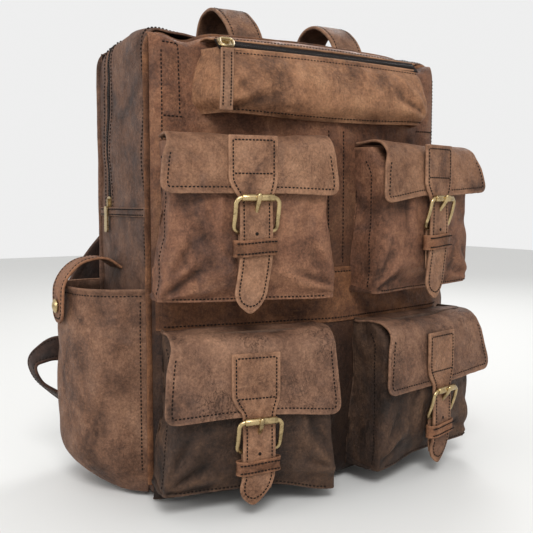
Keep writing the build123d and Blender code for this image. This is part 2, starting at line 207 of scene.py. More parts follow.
def make_mesh(name, points, faces, material, rest=None, wear=None, relief=None, subdivide=0):
    mesh = bpy.data.meshes.new(name)
    points = np.asarray(points, float).reshape(-1, 3)
    mesh.from_pydata(world(points).tolist(), [], faces)
    mesh.validate()
    mesh.shade_smooth()
    values = {"wear": wear, "relief": relief}
    for key, data in values.items():
        data = np.zeros(len(points)) if data is None else np.asarray(data, float).ravel()
        layer = mesh.attributes.new(key, "FLOAT", "POINT")
        layer.data.foreach_set("value", data.astype(np.float32))
    layer = mesh.attributes.new("rest", "FLOAT_VECTOR", "POINT")
    rest = points if rest is None else np.asarray(rest, float).reshape(-1, 3)
    layer.data.foreach_set("vector", rest.astype(np.float32).ravel())
    mesh.materials.append(material)
    obj = bpy.data.objects.new(name, mesh)
    bpy.context.scene.collection.objects.link(obj)
    if subdivide:
        mod = obj.modifiers.new("Smooth", "SUBSURF")
        mod.levels = mod.render_levels = subdivide
    PIECES[name] = obj
    return obj


def assign(obj, body, slot=None, *nodes):
    """Says which body a piece rides on and which CAD nodes it stands for; slot, what it is made of, is not
    used.
    """
    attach(obj, body)
    if nodes:
        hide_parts(*nodes)


def merge(parts):
    """Joins (points, faces) pairs into one pair."""
    points, faces, start = [], [], 0
    for p, f in parts:
        points.append(np.asarray(p, float).reshape(-1, 3))
        faces.extend([tuple(i + start for i in face) for face in f])
        start += len(points[-1])
    return np.concatenate(points), faces


def grid_faces(rows, cols, close=False, start=0, flip=False):
    faces = []
    wide = cols if close else cols - 1
    for j in range(rows - 1):
        for i in range(wide):
            k = (i + 1) % cols
            face = (start + j * cols + i, start + j * cols + k, start + (j + 1) * cols + k,
                    start + (j + 1) * cols + i)
            faces.append(face[::-1] if flip else face)
    return faces


def surface_normals(grid, close=False):
    if close:
        du = np.roll(grid, -1, axis=1) - np.roll(grid, 1, axis=1)
    else:
        du = np.gradient(grid, axis=1)
    dv = np.gradient(grid, axis=0)
    return unit(np.cross(du, dv))


def shell(name, grid, thickness, material, out_sign=1, close=False, wear=None, relief=None, subdivide=1,
          stretch=None):
    """A leather sheet from its outer surface: the outer and inner faces and a rounded rim between them."""
    rows, cols, _ = grid.shape
    normal = surface_normals(grid, close) * out_sign
    inner = grid - normal * thickness
    count = rows * cols
    points = [grid.reshape(-1, 3), inner.reshape(-1, 3)]
    flip = out_sign < 0
    faces = grid_faces(rows, cols, close, 0, flip) + grid_faces(rows, cols, close, count, not flip)
    middle = (grid + inner) / 2
    if close:
        rims = [[(0, i) for i in range(cols)], [(rows - 1, i) for i in range(cols)]]
    else:
        loop = [(0, i) for i in range(cols)] + [(j, cols - 1) for j in range(1, rows)]
        loop += [(rows - 1, i) for i in range(cols - 2, -1, -1)] + [(j, 0) for j in range(rows - 2, 0, -1)]
        rims = [loop]
    start = 2 * count
    wear_all = [np.zeros(count) if wear is None else wear.ravel()] * 2
    # The inner face gets a relief of -0.6, which the leather material turns into painted shade
    relief_all = [np.zeros(count) if relief is None else relief.ravel(), np.full(count, -0.6)]
    for number, rim in enumerate(rims):
        rim_points = []
        for j, i in rim:
            away = np.zeros(3)
            if j in (0, rows - 1):
                away += grid[j, i] - grid[1 if j == 0 else rows - 2, i]
            if not close and i in (0, cols - 1):
                away += grid[j, i] - grid[j, 1 if i == 0 else cols - 2]
            rim_points.append(middle[j, i] + unit(away) * thickness * 0.22)
        size = len(rim)
        points.append(np.array(rim_points))
        wear_all.append(np.ones(size))
        relief_all.append(np.zeros(size))
        for n, (j, i) in enumerate(rim):
            m = (n + 1) % size
            a, b = j * cols + i, rim[m][0] * cols + rim[m][1]
            turn = flip != (close and number == 1)
            first = (a, b, start + m, start + n)
            second = (start + n, start + m, count + b, count + a)
            faces += [first, second] if turn else [first[::-1], second[::-1]]
        start += size
    rest = None
    if stretch is not None:
        flat = stretch.reshape(-1, 3)
        rest = np.concatenate([flat, flat] + [flat[[j * cols + i for j, i in rim]] for rim in rims])
    return make_mesh(name, np.concatenate(points), faces, material, rest, np.concatenate(wear_all),
                     np.concatenate(relief_all), subdivide)


def tube(route_points, radii, sides=12, cap=True, squash=1.0, up=(0, 1, 0), close=False):
    """A round or oval bar along a line of points."""
    line = np.asarray(route_points, float)
    radii = np.broadcast_to(np.asarray(radii, float), (len(line),))
    ahead = np.roll(line, -1, axis=0) - np.roll(line, 1, axis=0) if close else np.gradient(line, axis=0)
    tangent = unit(ahead)
    side = unit(np.cross(tangent, np.array(up, float)))
    top = np.cross(side, tangent)
    angle = np.linspace(0, 2 * np.pi, sides, endpoint=False)
    ring = (side[:, None] * np.cos(angle)[None, :, None] + top[:, None] * np.sin(angle)[None, :, None] * squash)
    points = (line[:, None] + ring * radii[:, None, None]).reshape(-1, 3)
    rows = len(line)
    faces = grid_faces(rows, sides, True)
    if close:
        last = (rows - 1) * sides
        faces += [(last + i, last + (i + 1) % sides, (i + 1) % sides, i) for i in range(sides)]
    elif cap:
        faces.append(tuple(range(sides))[::-1])
        faces.append(tuple(range((rows - 1) * sides, rows * sides)))
    return points, faces


def stitches(name, lines, material, body, pitch=PITCH, length=2.25, radius=THREAD, lift=0.05):
    """Sewn thread: short rounded stitches along lines of (points, normals)."""
    shape = np.array([(-0.5, 0.45, -1.1), (-0.4, 0.9, -0.25), (-0.15, 1.0, 0.1), (0.15, 1.0, 0.1),
                      (0.4, 0.9, -0.25), (0.5, 0.45, -1.1)])
    sides = 6
    angle = np.linspace(0, 2 * np.pi, sides, endpoint=False)
    parts = []
    for points, normals in lines:
        along = np.concatenate([[0], np.cumsum(np.linalg.norm(np.diff(points, axis=0), axis=1))])
        count = max(1, int(along[-1] // pitch))
        centres = (np.arange(count) + 0.5) * along[-1] / count
        get = lambda data, d: np.stack([np.interp(d, along, data[:, k]) for k in range(3)], axis=-1)
        middle, normal = get(points, centres), unit(get(normals, centres))
        tangent = unit(get(points, np.minimum(centres + 1, along[-1]))
                       - get(points, np.maximum(centres - 1, 0)))
        side = unit(np.cross(tangent, normal))
        for c, n, t, s in zip(middle, normal, tangent, side):
            ring = [c + t * length * x + n * (z * radius + lift)
                    + radius * r * (np.cos(angle)[:, None] * s + np.sin(angle)[:, None] * n) for x, r,
                    z in shape]
            faces = grid_faces(len(shape), sides, True)
            faces.append(tuple(range(sides))[::-1])
            faces.append(tuple(range((len(shape) - 1) * sides, len(shape) * sides)))
            parts.append((np.concatenate(ring), faces))
    points, faces = merge(parts)
    obj = make_mesh(name, points, faces, material)
    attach(obj, body)
    return obj


def lines_on(shape, paths, step=1.0, sign=1):
    """Maps flat paths of (a, b) onto a surface and gives (points, normals) for stitches."""
    lines = []
    for path in paths:
        route = Route(path, 6)
        flat = route.at(np.linspace(0, route.length, max(2, int(route.length / step))))
        a, b = flat[:, 0], flat[:, 1]
        points = shape(a, b)
        da = shape(a + 0.5, b) - shape(a - 0.5, b)
        db = shape(a, b + 0.5) - shape(a, b - 0.5)
        lines.append((points, unit(np.cross(da, db)) * sign))
    return lines


def column(side, points):
    """From a pocket column's own axes (across, out, up) to the model."""
    turn = FACET * side
    across, out, up = points[..., 0], points[..., 1], points[..., 2]
    x = side * COLUMN_X + math.cos(turn) * across + math.sin(turn) * out
    y = COLUMN_Y + math.sin(turn) * across - math.cos(turn) * out
    return stack(x, y, up)


def facing(side):
    """The direction that a column of pockets faces."""
    return column(side, np.array([0., 1, 0])) - column(side, np.zeros(3))


# ---------------------------------------------------------------- materials

class Graph:
    def __init__(self, name):
        self.material = bpy.data.materials.new(name)
        self.material.use_nodes = True
        self.tree = self.material.node_tree
        self.shader = self.tree.nodes["Principled BSDF"]

    def add(self, kind, settings=None, **inputs):
        node = self.tree.nodes.new(kind)
        for key, value in (settings or {}).items():
            setattr(node, key, value)
        for key, value in inputs.items():
            socket = node.inputs[int(key[1:])] if key[0] == "i" and key[1:].isdigit() else node.inputs[key]
            self.put(socket, value)
        return node

    def put(self, socket, value):
        if isinstance(value, bpy.types.NodeSocket):
            self.tree.links.new(value, socket)
        else:
            socket.default_value = value

    def attribute(self, name, vector=False):
        node = self.add("ShaderNodeAttribute", {"attribute_name": name})
        return node.outputs["Vector" if vector else "Fac"]

    def noise(self, vector, scale, detail=4.0, rough=0.6, distortion=0.0):
        node = self.add("ShaderNodeTexNoise", None, Vector=vector, Scale=scale, Detail=detail, Roughness=rough,
                        Distortion=distortion)
        return node.outputs["Fac"]

    def math(self, op, a, b=0.0, clamp=False):
        node = self.add("ShaderNodeMath", {"operation": op, "use_clamp": clamp}, i0=a, i1=b)
        return node.outputs[0]

    def span(self, value, low, high, to_low=0.0, to_high=1.0):
        node = self.add("ShaderNodeMapRange", {"interpolation_type": "SMOOTHSTEP"}, Value=value)
        for key, number in (("From Min", low), ("From Max", high), ("To Min", to_low), ("To Max", to_high)):
            node.inputs[key].default_value = number
        return node.outputs[0]

    def shift(self, vector, offset, scale=(1, 1, 1)):
        node = self.add("ShaderNodeMapping", None, Vector=vector)
        node.inputs["Location"].default_value = offset
        node.inputs["Scale"].default_value = scale
        return node.outputs[0]

    def mix(self, fac, a, b, blend="MIX"):
        node = self.tree.nodes.new("ShaderNodeMix")
        node.data_type = "RGBA"
        node.blend_type = blend
        self.put(node.inputs[0], fac)
        self.put(node.inputs[6], a)
        self.put(node.inputs[7], b)
        return node.outputs[2]

    def ramp(self, fac, stops):
        node = self.add("ShaderNodeValToRGB", None, Fac=fac)
        ramp = node.color_ramp
        while len(ramp.elements) < len(stops):
            ramp.elements.new(0.5)
        for element, (position, color) in zip(ramp.elements, stops):
            element.position = position
            element.color = color
        return node.outputs["Color"]

    def bump(self, height, distance, strength=1.0, normal=None):
        node = self.add("ShaderNodeBump", None, Height=height, Distance=distance, Strength=strength)
        if normal is not None:
            self.put(node.inputs["Normal"], normal)
        return node.outputs["Normal"]


def rgb(r, g, b):
    """An 0-255 display colour as a linear one."""
    def linear(c):
        c = c / 255
        return c / 12.92 if c <= 0.04045 else ((c + 0.055) / 1.055) ** 2.4
    return (linear(r), linear(g), linear(b), 1.0)


def gray(g, value):
    return g.add("ShaderNodeCombineColor", None, Red=value, Green=value, Blue=value).outputs[0]


def leather(name, dark, mid, light, patch, seed=0.0, patchy=0.6, fissures=0.5, gloss=0.62, fall=1.0):
    """Waxed, distressed leather: mottled colour, rubbed edges and ridges, fissures, scuffs and grain, with
    painted shade in hollows and creases and, where fall is set, painted shade towards the bottom.
    """
    g = Graph(name)
    rest = g.attribute("rest", vector=True)
    relief = g.attribute("relief")
    here = g.shift(rest, (seed * 131.0, seed * 57.0, seed * 23.0))
    broad = g.noise(here, 1 / 68, 4, 0.58, 1.3)
    middle = g.noise(here, 1 / 21, 6, 0.66, 0.7)
    fine = g.noise(here, 1 / 5.0, 5, 0.7)
    tone = g.math("ADD", g.math("MULTIPLY", broad, 0.52), g.math("MULTIPLY", middle, 0.24))
    tone = g.math("ADD", tone, g.math("MULTIPLY", fine, 0.24))
    # Painted light and shade: relief makes raised places a little lighter and hollows a little darker
    tone = g.math("ADD", tone, g.math("MULTIPLY", relief, 0.05))
    deep = tuple(c * 0.62 for c in dark[:3]) + (1.0,)
    color = g.ramp(tone, [(0.29, deep), (0.385, dark), (0.495, mid), (0.70, light)])
    cool = g.span(g.noise(g.shift(here, (400, 90, 10)), 1 / 50, 5, 0.6, 1.4), 0.47, 0.74, 0.0, patchy * 0.85)
    color = g.mix(cool, color, patch)
    rub = g.span(g.noise(g.shift(here, (20, 700, 50)), 1 / 30, 7, 0.72, 0.8), 0.52, 0.80, 0.0, 0.45)
    rub = g.math("MULTIPLY", rub, g.span(relief, -0.5, 0.5, 0.3, 1.0))
    color = g.mix(rub, color, light)

    veins = g.noise(g.shift(here, (7, 3, 90), (1.0, 1.0, 0.5)), 1 / 9, 5, 0.62, 2.2)
    veins = g.span(g.math("ABSOLUTE", g.math("SUBTRACT", veins, 0.5)), 0.0, 0.022, 1.0, 0.0)
    where = g.span(g.noise(g.shift(here, (5, 50, 900)), 1 / 38, 4, 0.6), 0.44, 0.62, 0.0, fissures)
    cracks = g.math("MULTIPLY", veins, where)
    color = g.mix(cracks, color, deep)
    scuffs = g.noise(g.shift(here, (60, 8, 1), (0.45, 0.45, 1.6)), 1 / 7, 6, 0.75, 0.4)
    color = g.mix(g.span(scuffs, 0.60, 0.72, 0.0, 0.45), color, light)

    grain_tone = g.span(g.noise(here, 1 / 1.9, 4, 0.75), 0.32, 0.68, 0.74, 1.22)
    color = g.mix(1.0, color, gray(g, grain_tone), "MULTIPLY")
    # Painted shade: hollows and creases, where relief is below zero, are multiplied darker
    painted_crease_shade = g.span(relief, -1.0, 0.0, 0.45, 1.0)
    color = g.mix(1.0, color, gray(g, painted_crease_shade), "MULTIPLY")
    # Painted shade: with fall set, the colour darkens towards the bottom and lightens a little at the top,
    # standing in for the shade under and between the pockets
    if fall != 1.0:
        height = g.add("ShaderNodeSeparateXYZ", Vector=rest).outputs["Z"]
        color = g.mix(1.0, color, gray(g, g.span(height, 40.0, 390.0, fall, 1.12)), "MULTIPLY")
    worn = g.attribute("wear")
    worn = g.math("MULTIPLY", worn, g.span(g.noise(here, 1 / 6, 4, 0.7), 0.35, 0.65, 0.08, 0.5))
    color = g.mix(worn, color, light)
    g.put(g.shader.inputs["Base Color"], color)
    rough = g.span(g.noise(here, 1 / 14, 5, 0.6), 0.3, 0.7, gloss - 0.1, gloss + 0.14)
    g.put(g.shader.inputs["Roughness"], rough)
    g.shader.inputs["Specular IOR Level"].default_value = 0.22
    pebble = g.add("ShaderNodeTexVoronoi", {"feature": "SMOOTH_F1"}, Vector=here, Scale=1 / 1.6)
    grain = g.math("ADD", pebble.outputs["Distance"], g.noise(here, 1 / 0.9, 3, 0.7))
    creased = g.noise(g.shift(here, (0, 0, 60), (1, 1, 0.6)), 1 / 6, 6, 0.74, 1.6)
    normal = g.bump(grain, 0.00028, 0.8)
    normal = g.bump(creased, 0.0020, 0.8, normal)
    normal = g.bump(g.math("MULTIPLY", cracks, -1.0), 0.0005, 0.8, normal)
    g.put(g.shader.inputs["Normal"], normal)
    return g.material


def brass_material(name, base, dark, roughness=0.30, vector="Object"):
    """Antique brass: patches of darker stain and uneven roughness, spread by noise."""
    g = Graph(name)
    if vector == "Object":
        place = g.add("ShaderNodeTexCoord").outputs["Object"]
        place = g.shift(place, (0, 0, 0), (1000, 1000, 1000))
    else:
        place = g.attribute("rest", vector=True)
    stain = g.span(g.noise(place, 1 / 8, 5, 0.6, 0.5), 0.46, 0.80)
    g.put(g.shader.inputs["Base Color"], g.mix(stain, base, dark))
    g.put(g.shader.inputs["Roughness"], g.span(g.noise(place, 1 / 2.4, 4, 0.6), 0.3, 0.7, roughness - 0.1,
                                               roughness + 0.16))
    g.shader.inputs["Metallic"].default_value = 1.0
    g.put(g.shader.inputs["Normal"], g.bump(g.noise(place, 1 / 1.6, 3, 0.5), 0.00002, 0.4))
    return g.material


def cloth_material(name, low, high, weave=0.7, roughness=0.85):
    g = Graph(name)
    rest = g.attribute("rest", vector=True)
    threads = g.add("ShaderNodeTexWave", {"wave_type": "BANDS", "bands_direction": "DIAGONAL"}, Vector=rest,
                    Scale=1 / weave, Distortion=0.6)
    blotch = g.noise(rest, 1 / 12, 4, 0.6)
    fac = g.math("ADD", g.math("MULTIPLY", threads.outputs["Fac"], 0.5), g.math("MULTIPLY", blotch, 0.5))
    g.put(g.shader.inputs["Base Color"], g.mix(fac, low, high))
    g.shader.inputs["Roughness"].default_value = roughness
    g.shader.inputs["Specular IOR Level"].default_value = 0.15
    g.put(g.shader.inputs["Normal"], g.bump(threads.outputs["Fac"], 0.0002, 0.6))
    return g.material


M = {
    # The panel's fall of 0.1 paints shade: darker towards the bottom, a little lighter at the top
    "panel": leather("leather_panel", rgb(60, 36, 25), rgb(106, 70, 50), rgb(148, 106, 77), rgb(60, 45, 39),
                     0.3,
                     0.5, 0.4, fall=0.1),
    "band": leather("leather_band", rgb(52, 30, 19), rgb(92, 59, 39), rgb(138, 94, 62), rgb(58, 39, 30), 0.9,
                    0.4,
                    0.4),
    "gusset": leather("leather_gusset", rgb(48, 33, 26), rgb(86, 61, 48), rgb(128, 95, 75), rgb(60, 49, 46),
                      1.7,
                      0.7, 0.4),
    "pocket": leather("leather_pocket", rgb(66, 43, 31), rgb(112, 76, 57), rgb(156, 112, 84), rgb(68, 53, 50),
                      2.1,
                      0.6, 0.4),
    # Painted shade: a darker copy of the pocket leather for the lower pockets, standing in for the shade that
    # falls on them
    "pocket_shaded": leather("leather_pocket_shaded", rgb(34, 24, 18), rgb(60, 43, 33), rgb(100, 74, 56),
                          rgb(40, 33, 32), 3.6, 0.6, 0.4),
    "flap": leather("leather_flap", rgb(78, 52, 37), rgb(116, 82, 61), rgb(156, 117, 90), rgb(80, 61, 54),
                    4.3, 0.6,
                    0.35),
    "flap_low": leather("leather_flap_low", rgb(62, 43, 33), rgb(106, 76, 59), rgb(150, 113, 89),
                        rgb(72, 57, 52),
                        5.9, 0.5, 0.9),
    "strap": leather("leather_strap", rgb(82, 55, 40), rgb(128, 92, 69), rgb(166, 126, 98), rgb(86, 67, 58),
                     6.4,
                     0.45, 0.3),
    "keeper": leather("leather_keeper", rgb(70, 45, 30), rgb(114, 76, 53), rgb(154, 110, 81), rgb(74, 54, 44),
                      7.7,
                      0.4, 0.2),
    "top": leather("leather_top_pocket", rgb(86, 57, 39), rgb(134, 94, 67), rgb(168, 126, 93), rgb(90, 66, 53),
                   8.2, 0.45, 0.4),
    "side": leather("leather_side_pocket", rgb(64, 43, 32), rgb(106, 75, 57), rgb(146, 109, 85),
                    rgb(72, 56, 50),
                    9.5, 0.5, 0.3),
    "handle": leather("leather_handle", rgb(66, 45, 33), rgb(112, 80, 60), rgb(154, 116, 89), rgb(72, 57, 50),
                      10.1, 0.5, 0.3),
    "shoulder": leather("leather_shoulder", rgb(32, 20, 15), rgb(56, 37, 28), rgb(94, 65, 50), rgb(36, 28, 26),
                        11.4, 0.5, 0.3),
    "thread": cloth_material("waxed_thread", rgb(17, 11, 8), rgb(33, 23, 18), 0.5, 0.6),
    "tape": cloth_material("zip_tape_cloth", rgb(18, 13, 12), rgb(34, 27, 24), 0.6),
    "coil": cloth_material("zip_coil", rgb(15, 12, 11), rgb(42, 34, 30), 1.0, 0.45),
    "canvas": cloth_material("lining_canvas", rgb(82, 66, 46), rgb(114, 95, 68), 0.8),
    "brass": brass_material("antique_brass", rgb(182, 160, 118), rgb(92, 74, 52), vector="rest"),
    "brass_cad": brass_material("antique_brass_cad", rgb(182, 160, 118), rgb(92, 74, 52)),
}


# ---------------------------------------------------------------- main body

TOP_CORNER_CUT = 18.0
LEATHER = 2.2       # thickness of the body's leather
GRID_STEP = 4.0     # spacing of the body's mesh rows
STRIP_HALF = 3.8    # half height of the strip along each side seam
THREAD_LIFT = 0.15  # how far the body's stitches stand off it
BASE_CORNER_CUT = 15.6
TOP_Z = 396.0


def front_face_y(x, z):
    """Where the front panel's face lies, before its edges roll back to the seam."""
    valley = RIDGE_Y + math.tan(FACET) * np.sqrt(x * x + 9.0 ** 2)
    slope = -61 + (z - 300) * 0.404
    return np.logaddexp(valley / 4, slope / 4) * 4


def round_in(distance, radius):
    t = np.clip(distance / radius, 0, 1)
    return np.sqrt(np.clip(1 - (1 - t) ** 2, 0, 1))


def top_line(x):
    """The height of the front's top edge, which dips beside each end of the top pocket."""
    return 396 - 7 * bell(np.abs(x) - 128, 16) + 2.5 * np.cos(x / 60.0)


def slim(points):
    """The right-hand side sags inwards above its side pocket."""
    points = np.array(points, float)
    amount = 7.0 * smooth(points[..., 0], 70, 160) * smooth(points[..., 2], 188, 250)
    points[..., 0] -= amount
    return points


def front_shape(x, z, lift=0.0):
    x, z = same_size(x, z)
    corner = 13 + 13 * smooth(x, 40, 120)
    keep = round_in(HALF_W - np.abs(x), corner) * round_in(z, 12) * round_in(top_line(x) - z, 15)
    y = 1.0 + (front_face_y(x, z) - 1.0) * keep
    wrinkle = 0.9 * layered(stack(x, y * 0, z), 42, 3) + 0.35 * layered(stack(x, y * 0, z * 0.5), 13, 8)
    return slim(stack(x, y - (wrinkle + lift) * smooth(keep, 0.2, 0.9), z))


def panel_piece(name, x_range, z_range, material, lift, thickness):
    xs = x_range[0] + spaced(x_range[1] - x_range[0], GRID_STEP)
    zs = z_range[0] + spaced(z_range[1] - z_range[0], GRID_STEP)
    x, z = np.meshgrid(xs, zs)
    if z_range[1] > 380:
        z = z_range[0] + (z - z_range[0]) * (top_line(x) - z_range[0]) / (z_range[1] - z_range[0])
    wear = bell(np.minimum(z - z_range[0], z_range[1] - z), 1.5)
    return shell(name, front_shape(x, z, lift), thickness, material, 1, wear=wear)


def build_front():
    panel = panel_piece("front_leather", (-HALF_W + 0.6, HALF_W - 0.6), (1.2, TOP_Z), M["panel"], 0.0, LEATHER)
    band = panel_piece("front_band", (-HALF_W + 2, HALF_W - 2), (148.0, 197.0), M["band"], 1.8, 2.0)
    for piece in (panel, band):
        assign(piece, "bag", "leather_panel")
    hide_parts("front_panel")
    lifted = lambda x, z: front_shape(x, z, 1.9)
    flat = lambda x, z: front_shape(x, z, THREAD_LIFT)
    inner = HALF_W - 6
    lines = lines_on(lifted, [[(-inner, z), (inner, z)] for z in (151.5, 193.0)])
    lines += lines_on(flat, [[(s * (HALF_W - 7.5), 16), (s * (HALF_W - 7.5), 378)] for s in (-1, 1)])
    lines += lines_on(flat, [[(-8, 200), (-8, 318)], [(8, 200), (8, 318)]])
    lines += lines_on(flat, [[(-152, 384), (-139, 383)], [(-152, 325), (-136, 324)], [(118, 324), (152, 325)],
                             [(-138.5, 326), (-139.5, 383)]])
    stitches("front_stitches", lines, M["thread"], "bag")


def outline_route(z_low):
    """Up the left side, over the top and down the right side, as seen from the front."""
    return Route([(-HALF_W, z_low), (-HALF_W, TOP_Z), (HALF_W, TOP_Z), (HALF_W, z_low)], TOP_CORNER_CUT)


def crown(y):
    return 11.5 * np.clip(1 - ((y - 54) / 66.0) ** 2, -0.1, 1)


def gusset_waves(flat, y):
    """The wrinkles of a side, and their sum with its belly and its pinch at the two seams."""
    wrinkle = 1.5 * layered(flat, 46, 12) + 0.7 * layered(flat * np.array([1, 1, 0.45]), 15, 17)
    pinch = -1.6 * bell(y - FRONT_SEAM_Y, 7) - 1.2 * bell(y - BACK_Y, 9)
    belly = 2.6 * np.clip(1 - ((y - 55) / 58.0) ** 2, 0, 1)
    return wrinkle, belly + wrinkle + pinch


def gusset_shape(route):
    def shape(d, y, lift=0.0):
        d, y = same_size(d, y)
        centre, along = route.at(d), route.direction(d)
        out = stack(-along[..., 1], along[..., 0])
        top = smooth(out[..., 1], 0.3, 0.95)
        base = smooth(-out[..., 1], 0.3, 0.95)
        side = 1 - top - base
        flat = stack(centre[..., 0], y, centre[..., 1])
        wrinkle, waves = gusset_waves(flat, y)
        off = side * waves
        dip = 4.5 * bell(centre[..., 0] + 96, 34) + 3.5 * bell(centre[..., 0] - 112, 30)
        off = off + top * (crown(y) * 0.82 + wrinkle * 1.3 - dip * bell(y - 8, 34) - 2.0)
        off = off + base * 0.4 + lift
        return slim(stack(centre[..., 0] + out[..., 0] * off, y, centre[..., 1] + out[..., 1] * off))
    return shape


def gusset_piece(name, shape, route, y_range, material, replaces, raw=(False, False)):
    ds = spaced(route.length, GRID_STEP, fine=False)
    ys = y_range[0] + spaced(y_range[1] - y_range[0], GRID_STEP)
    d, y = np.meshgrid(ds, ys)
    wear = raw[0] * bell(y - y_range[0], 1.6) + raw[1] * bell(y_range[1] - y, 1.6)
    piece = shell(name, shape(d, y), LEATHER, material, 1, wear=wear)
    assign(piece, "bag", "leather_body", replaces)
    return piece


def seam_ridge(name, points, out, material, width=3.2, height=4.2):
    """The raised edge where two panels are sewn together, as a rounded leather fold."""
    line = slim(points)
    out = unit(np.asarray(out, float))
    tangent = unit(np.gradient(line, axis=0))
    side = unit(np.cross(tangent, out))
    wave = 1 + 0.12 * layered(line, 22, 31)[:, None]
    profile = [(-0.5, -0.6), (-0.5, 0.45), (-0.36, 0.85), (0.0, 1.0), (0.36, 0.85), (0.5, 0.45), (0.5, -0.6)]
    rows = [line + side * (u * width) + out * (v * height) * wave for u, v in profile]
    grid = np.stack(rows, axis=1)
    points = grid.reshape(-1, 3)
    cols = len(profile)
    faces = grid_faces(len(line), cols, True)
    faces += [tuple(range(cols))[::-1], tuple(range((len(line) - 1) * cols, len(line) * cols))]
    wear = np.tile(np.array([0, 0.1, 0.4, 0.6, 0.4, 0.1, 0]), len(line))
    piece = make_mesh(name, points, faces, material, wear=wear, subdivide=1)
    assign(piece, "bag", "leather_body")
    return piece


def build_gusset():
    upper = outline_route(SIDE_SEAM_Z)
    lower = Route([(-HALF_W, SIDE_SEAM_Z), (-HALF_W, 0), (HALF_W, 0), (HALF_W, SIDE_SEAM_Z)], BASE_CORNER_CUT)
    arch = gusset_shape(upper)

    def low_shape(d, y, lift=0.0):
        """The lower gusset runs the other way round, so that its outside is turned over."""
        centre = lower.at(d)
        along = lower.direction(d)
        out = stack(along[..., 1], -along[..., 0])
        d, y = same_size(d, y)
        base = smooth(-out[..., 1], 0.3, 0.95)
        flat = stack(centre[..., 0], y, centre[..., 1])
        off = (1 - base) * gusset_waves(flat, y)[1] + lift - base * 0.2
        return slim(stack(centre[..., 0] + out[..., 0] * off, y, centre[..., 1] + out[..., 1] * off))

    gusset_piece("gusset_front_leather", arch, upper, (2.0, ZIP_Y - 4.5), M["gusset"], "gusset_front",
                 raw=(False, True))
    gusset_piece("gusset_rear_leather", arch, upper, (ZIP_Y + 4.5, BACK_Y - 4), M["gusset"], "gusset_rear",
                 raw=(True, False))
    ds = spaced(lower.length, GRID_STEP, fine=False)
    ys = 2.0 + spaced(BACK_Y - 6, GRID_STEP)
    d, y = np.meshgrid(ds, ys)
    piece = shell("gusset_base_leather", low_shape(d, y), LEATHER, M["gusset"], -1)
    assign(piece, "bag", "leather_body", "gusset_base")

    lift = lambda d, y: arch(d, y, THREAD_LIFT)
    length = upper.length
    paths = [[(4, ZIP_Y - 9), (length - 4, ZIP_Y - 9)], [(4, ZIP_Y + 9), (length - 4, ZIP_Y + 9)],
             [(4, 8.5), (length - 4, 8.5)]]
    lines = lines_on(lift, paths, sign=1)
    low = lambda d, y: low_shape(d, y, THREAD_LIFT)
    lines += lines_on(low, [[(4, 8.5), (SIDE_SEAM_Z - 14, 8.5)],
                            [(lower.length - 4, 8.5), (lower.length - SIDE_SEAM_Z + 14, 8.5)]], sign=-1)
    stitches("gusset_stitches", lines, M["thread"], "bag")

    # The seam strip across each side, where the main zip ends
    for name, sign in COLUMNS.items():
        ys = FRONT_SEAM_Y + 1 + spaced(BACK_Y - 12, GRID_STEP)
        zs = SIDE_SEAM_Z - STRIP_HALF + spaced(2 * STRIP_HALF, 2.0)
        y, z = np.meshgrid(ys, zs)
        d = np.where(sign < 0, z - SIDE_SEAM_Z, length - (z - SIDE_SEAM_Z))
        below = z < SIDE_SEAM_Z
        body = arch(np.clip(d, 0, length), y, 1.9)
        grid = np.where(below[..., None], stack(body[..., 0], y, z), body)
        wear = np.maximum(bell(z - zs[0], 1.2), bell(zs[-1] - z, 1.2))
        piece = shell(f"side_seam_strip_{name}", grid, 1.9, M["gusset"], sign, wear=wear)
        assign(piece, "bag", "leather_body")
        lines = []
        for row_z in (SIDE_SEAM_Z - 2.4, SIDE_SEAM_Z + 2.4):
            line_y = np.linspace(ys[0] + 3, ys[-1] - 3, 80)
            base = arch(np.full(80, 0.1 if sign < 0 else length - 0.1), line_y, 2.0)
            points = stack(base[:, 0], line_y, np.full(80, row_z))
            lines.append((points, np.tile([sign, 0, 0], (80, 1)).astype(float)))
        stitches(f"side_seam_stitches_{name}", lines, M["thread"], "bag")

    # Raised seams round the front and the back
    whole = outline_route(13)
    d = np.linspace(0, whole.length, 420)
    centre, along = whole.at(d), whole.direction(d)
    out = stack(-along[:, 1], np.zeros(len(d)), along[:, 0])
    dip = smooth(out[:, 2], 0.3, 0.95) * (top_line(centre[:, 0]) - TOP_Z)
    front = stack(centre[:, 0], np.full(len(d), 1.4), centre[:, 1] + dip) - out * 1.4
    seam_ridge("front_seam", front, out, M["band"])
    back = stack(centre[:, 0], np.full(len(d), BACK_Y - 4.0), centre[:, 1]) - out * 1.8
    seam_ridge("back_seam", back, out, M["gusset"])


def build_back():
    xs = -HALF_W + 2 + spaced(2 * HALF_W - 4, 5.0)
    zs = 2 + spaced(TOP_Z - 4, 5.0)
    x, z = np.meshgrid(xs, zs)
    keep = round_in(HALF_W - np.abs(x), 12) * round_in(z, 10) * round_in(TOP_Z + 1 - z, 12)
    pad = 1.6 * layered(stack(x, x * 0, z), 60, 21) + 0.6 * layered(stack(x, x * 0, z), 16, 23)
    y = BACK_Y - 9 + (8.0 + pad) * keep
    piece = shell("back_leather", slim(stack(x, y, z)), LEATHER, M["gusset"], -1)
    assign(piece, "bag", "leather_body", "back_panel")


def build_main_zip():
    route = outline_route(SIDE_SEAM_Z)
    shape = gusset_shape(route)
    ds = spaced(route.length, 4.0, fine=False)
    ys = ZIP_Y - 7 + spaced(14.0, 2.0, fine=False)
    d, y = np.meshgrid(ds, ys)
    tape = shell("main_zip_tape_cloth", shape(d, y, -0.7), 0.9, M["tape"], 1, subdivide=0)
    assign(tape, "bag", "zip_tape", "zip_tape_main")
    coil("main_zip_coil", shape, [(float(s), ZIP_Y) for s in np.arange(2, route.length - 2, 1.7)], -0.5)


